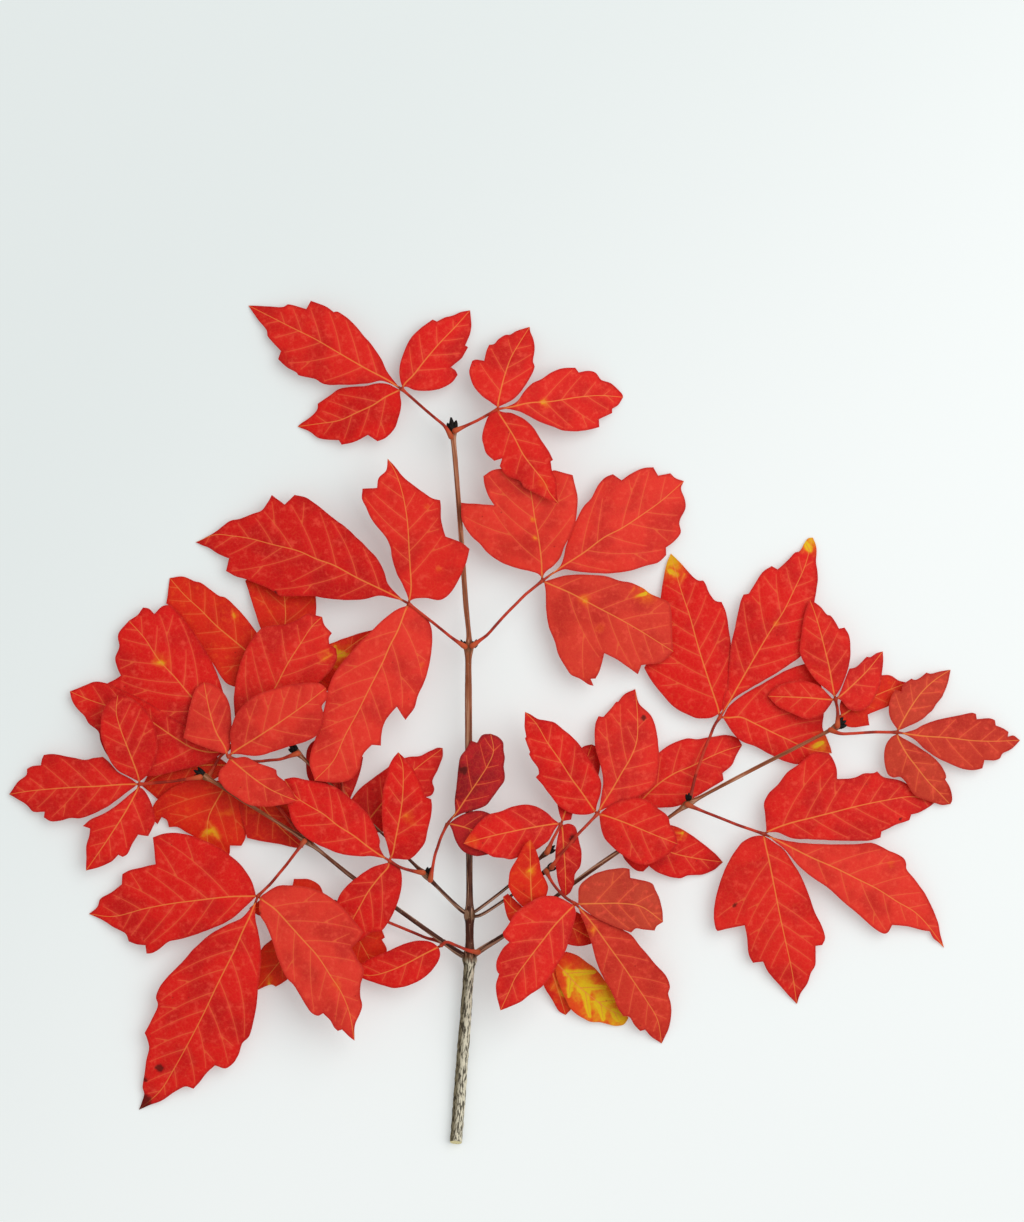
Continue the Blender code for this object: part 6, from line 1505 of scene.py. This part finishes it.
class MAPLE_OT_leaves(bpy.types.Operator):
    """Lays the leaves, each with its leaflets, veins and stalks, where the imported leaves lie"""

    bl_idname = "maple.leaves"
    bl_label = "Leaves"

    def execute(self, context):
        settings = context.scene.maple_leaves
        random = np.random.default_rng(SEED)
        # The noise that frays the margins starts from the clock until it is given a seed of its own.
        noise.seed_set(SEED)
        finishes = {
            "scarlet": leaf_material(
                "maple leaf blade, scarlet, air-dried", settings.scarlet,
                linear("#a31316"), linear("#f25540"), settings),
            "crimson": leaf_material(
                "maple leaf blade, crimson, air-dried", settings.crimson,
                linear("#4d0a12"), linear("#d42c28"), settings),
            "orange": leaf_material(
                "maple leaf blade, orange, air-dried", settings.orange,
                linear("#b81714"), linear("#ec5220"), settings),
        }
        stalk = stalk_material()
        for name, leaf in LEAVES.items():
            look = LOOKS[name]
            packed = node_points(name)
            hub = points_of(leaf["hub"])[0]
            leaflets = [Leaflet(packed, hub, texts, settings, random) for texts in leaf["blades"]]
            piece = Piece()
            dulls = look.get("dull", (0,) * len(leaflets))
            for leaflet, tone, dull in zip(leaflets, look["tones"], dulls, strict=True):
                add_blade(piece, leaflet, look, tone, dull, settings)
            add_stalks(piece, leaf, packed, leaflets, settings)
            made = piece.build(name + "_grown", [finishes[look["hue"]], stalk], LEAF_MARKS)
            seated(made, name)
        return {"FINISHED"}


class MAPLE_OT_stage(bpy.types.Operator):
    """Sets the table, the soft light and the camera that looks straight down"""

    bl_idname = "maple.stage"
    bl_label = "Table, light and camera"

    def execute(self, context):
        settings = context.scene.maple_stage
        scene = context.scene
        scene.view_settings.view_transform = "Standard"
        mesh = bpy.data.meshes.new("table")
        corners = [(x * TABLE_REACH, y * TABLE_REACH, 0) for x, y in ((-1, -1), (1, -1), (1, 1), (-1, 1))]
        mesh.from_pydata(corners, [], [(0, 1, 2, 3)])
        mesh.materials.append(table_material(settings))
        table = bpy.data.objects.new("table", mesh)
        table.location.z = -TABLE_DROP
        scene.collection.objects.link(table)

        world = bpy.data.worlds.new("studio")
        world.use_nodes = True
        background = world.node_tree.nodes["Background"]
        background.inputs["Color"].default_value = (1, 1, 1, 1)
        background.inputs["Strength"].default_value = settings.fill
        scene.world = world

        key = bpy.data.lights.new("soft key", "AREA")
        key.shape = "RECTANGLE"
        key.size, key.size_y = KEY_SIZE
        key.energy = settings.key_power
        lamp = bpy.data.objects.new("soft key", key)
        lamp.location = KEY_PLACE
        lamp.rotation_euler = (-KEY_PLACE).to_track_quat("-Z", "Y").to_euler()
        scene.collection.objects.link(lamp)

        camera = bpy.data.cameras.new("camera")
        camera.sensor_width = SENSOR
        camera.lens = SENSOR * (settings.camera_height - LEAF_HEIGHT) / VIEW_HEIGHT
        camera.clip_end = VIEW_END
        eye = bpy.data.objects.new("camera", camera)
        eye.location = (*VIEW_CENTRE, settings.camera_height)
        scene.collection.objects.link(eye)
        scene.camera = eye
        return {"FINISHED"}


OPERATORS = (MAPLE_OT_twig, MAPLE_OT_buds, MAPLE_OT_leaves, MAPLE_OT_stage)


class MAPLE_PT_panel(bpy.types.Panel):
    """Lists the steps that build the twig"""

    bl_idname = "MAPLE_PT_panel"
    bl_label = "Maple Twig"
    bl_space_type = "VIEW_3D"
    bl_region_type = "UI"
    bl_category = "Maple Twig"

    def draw(self, context):
        for group in ("maple_leaves", "maple_twig", "maple_stage"):
            settings = getattr(context.scene, group)
            box = self.layout.box()
            for name in settings.__annotations__:
                box.prop(settings, name)
        for operator in OPERATORS:
            self.layout.operator(operator.bl_idname)


GROUPS = (MapleLeafSettings, MapleTwigSettings, MapleStageSettings)


def register():
    for kind in (*GROUPS, *OPERATORS, MAPLE_PT_panel):
        bpy.utils.register_class(kind)
    bpy.types.Scene.maple_leaves = bpy.props.PointerProperty(type=MapleLeafSettings)
    bpy.types.Scene.maple_twig = bpy.props.PointerProperty(type=MapleTwigSettings)
    bpy.types.Scene.maple_stage = bpy.props.PointerProperty(type=MapleStageSettings)


def unregister():
    del bpy.types.Scene.maple_stage
    del bpy.types.Scene.maple_twig
    del bpy.types.Scene.maple_leaves
    for kind in reversed((*GROUPS, *OPERATORS, MAPLE_PT_panel)):
        bpy.utils.unregister_class(kind)


def main():
    register()
    bpy.ops.maple.stage()
    bpy.ops.maple.twig()
    bpy.ops.maple.buds()
    bpy.ops.maple.leaves()


if __name__ == "__main__":
    main()
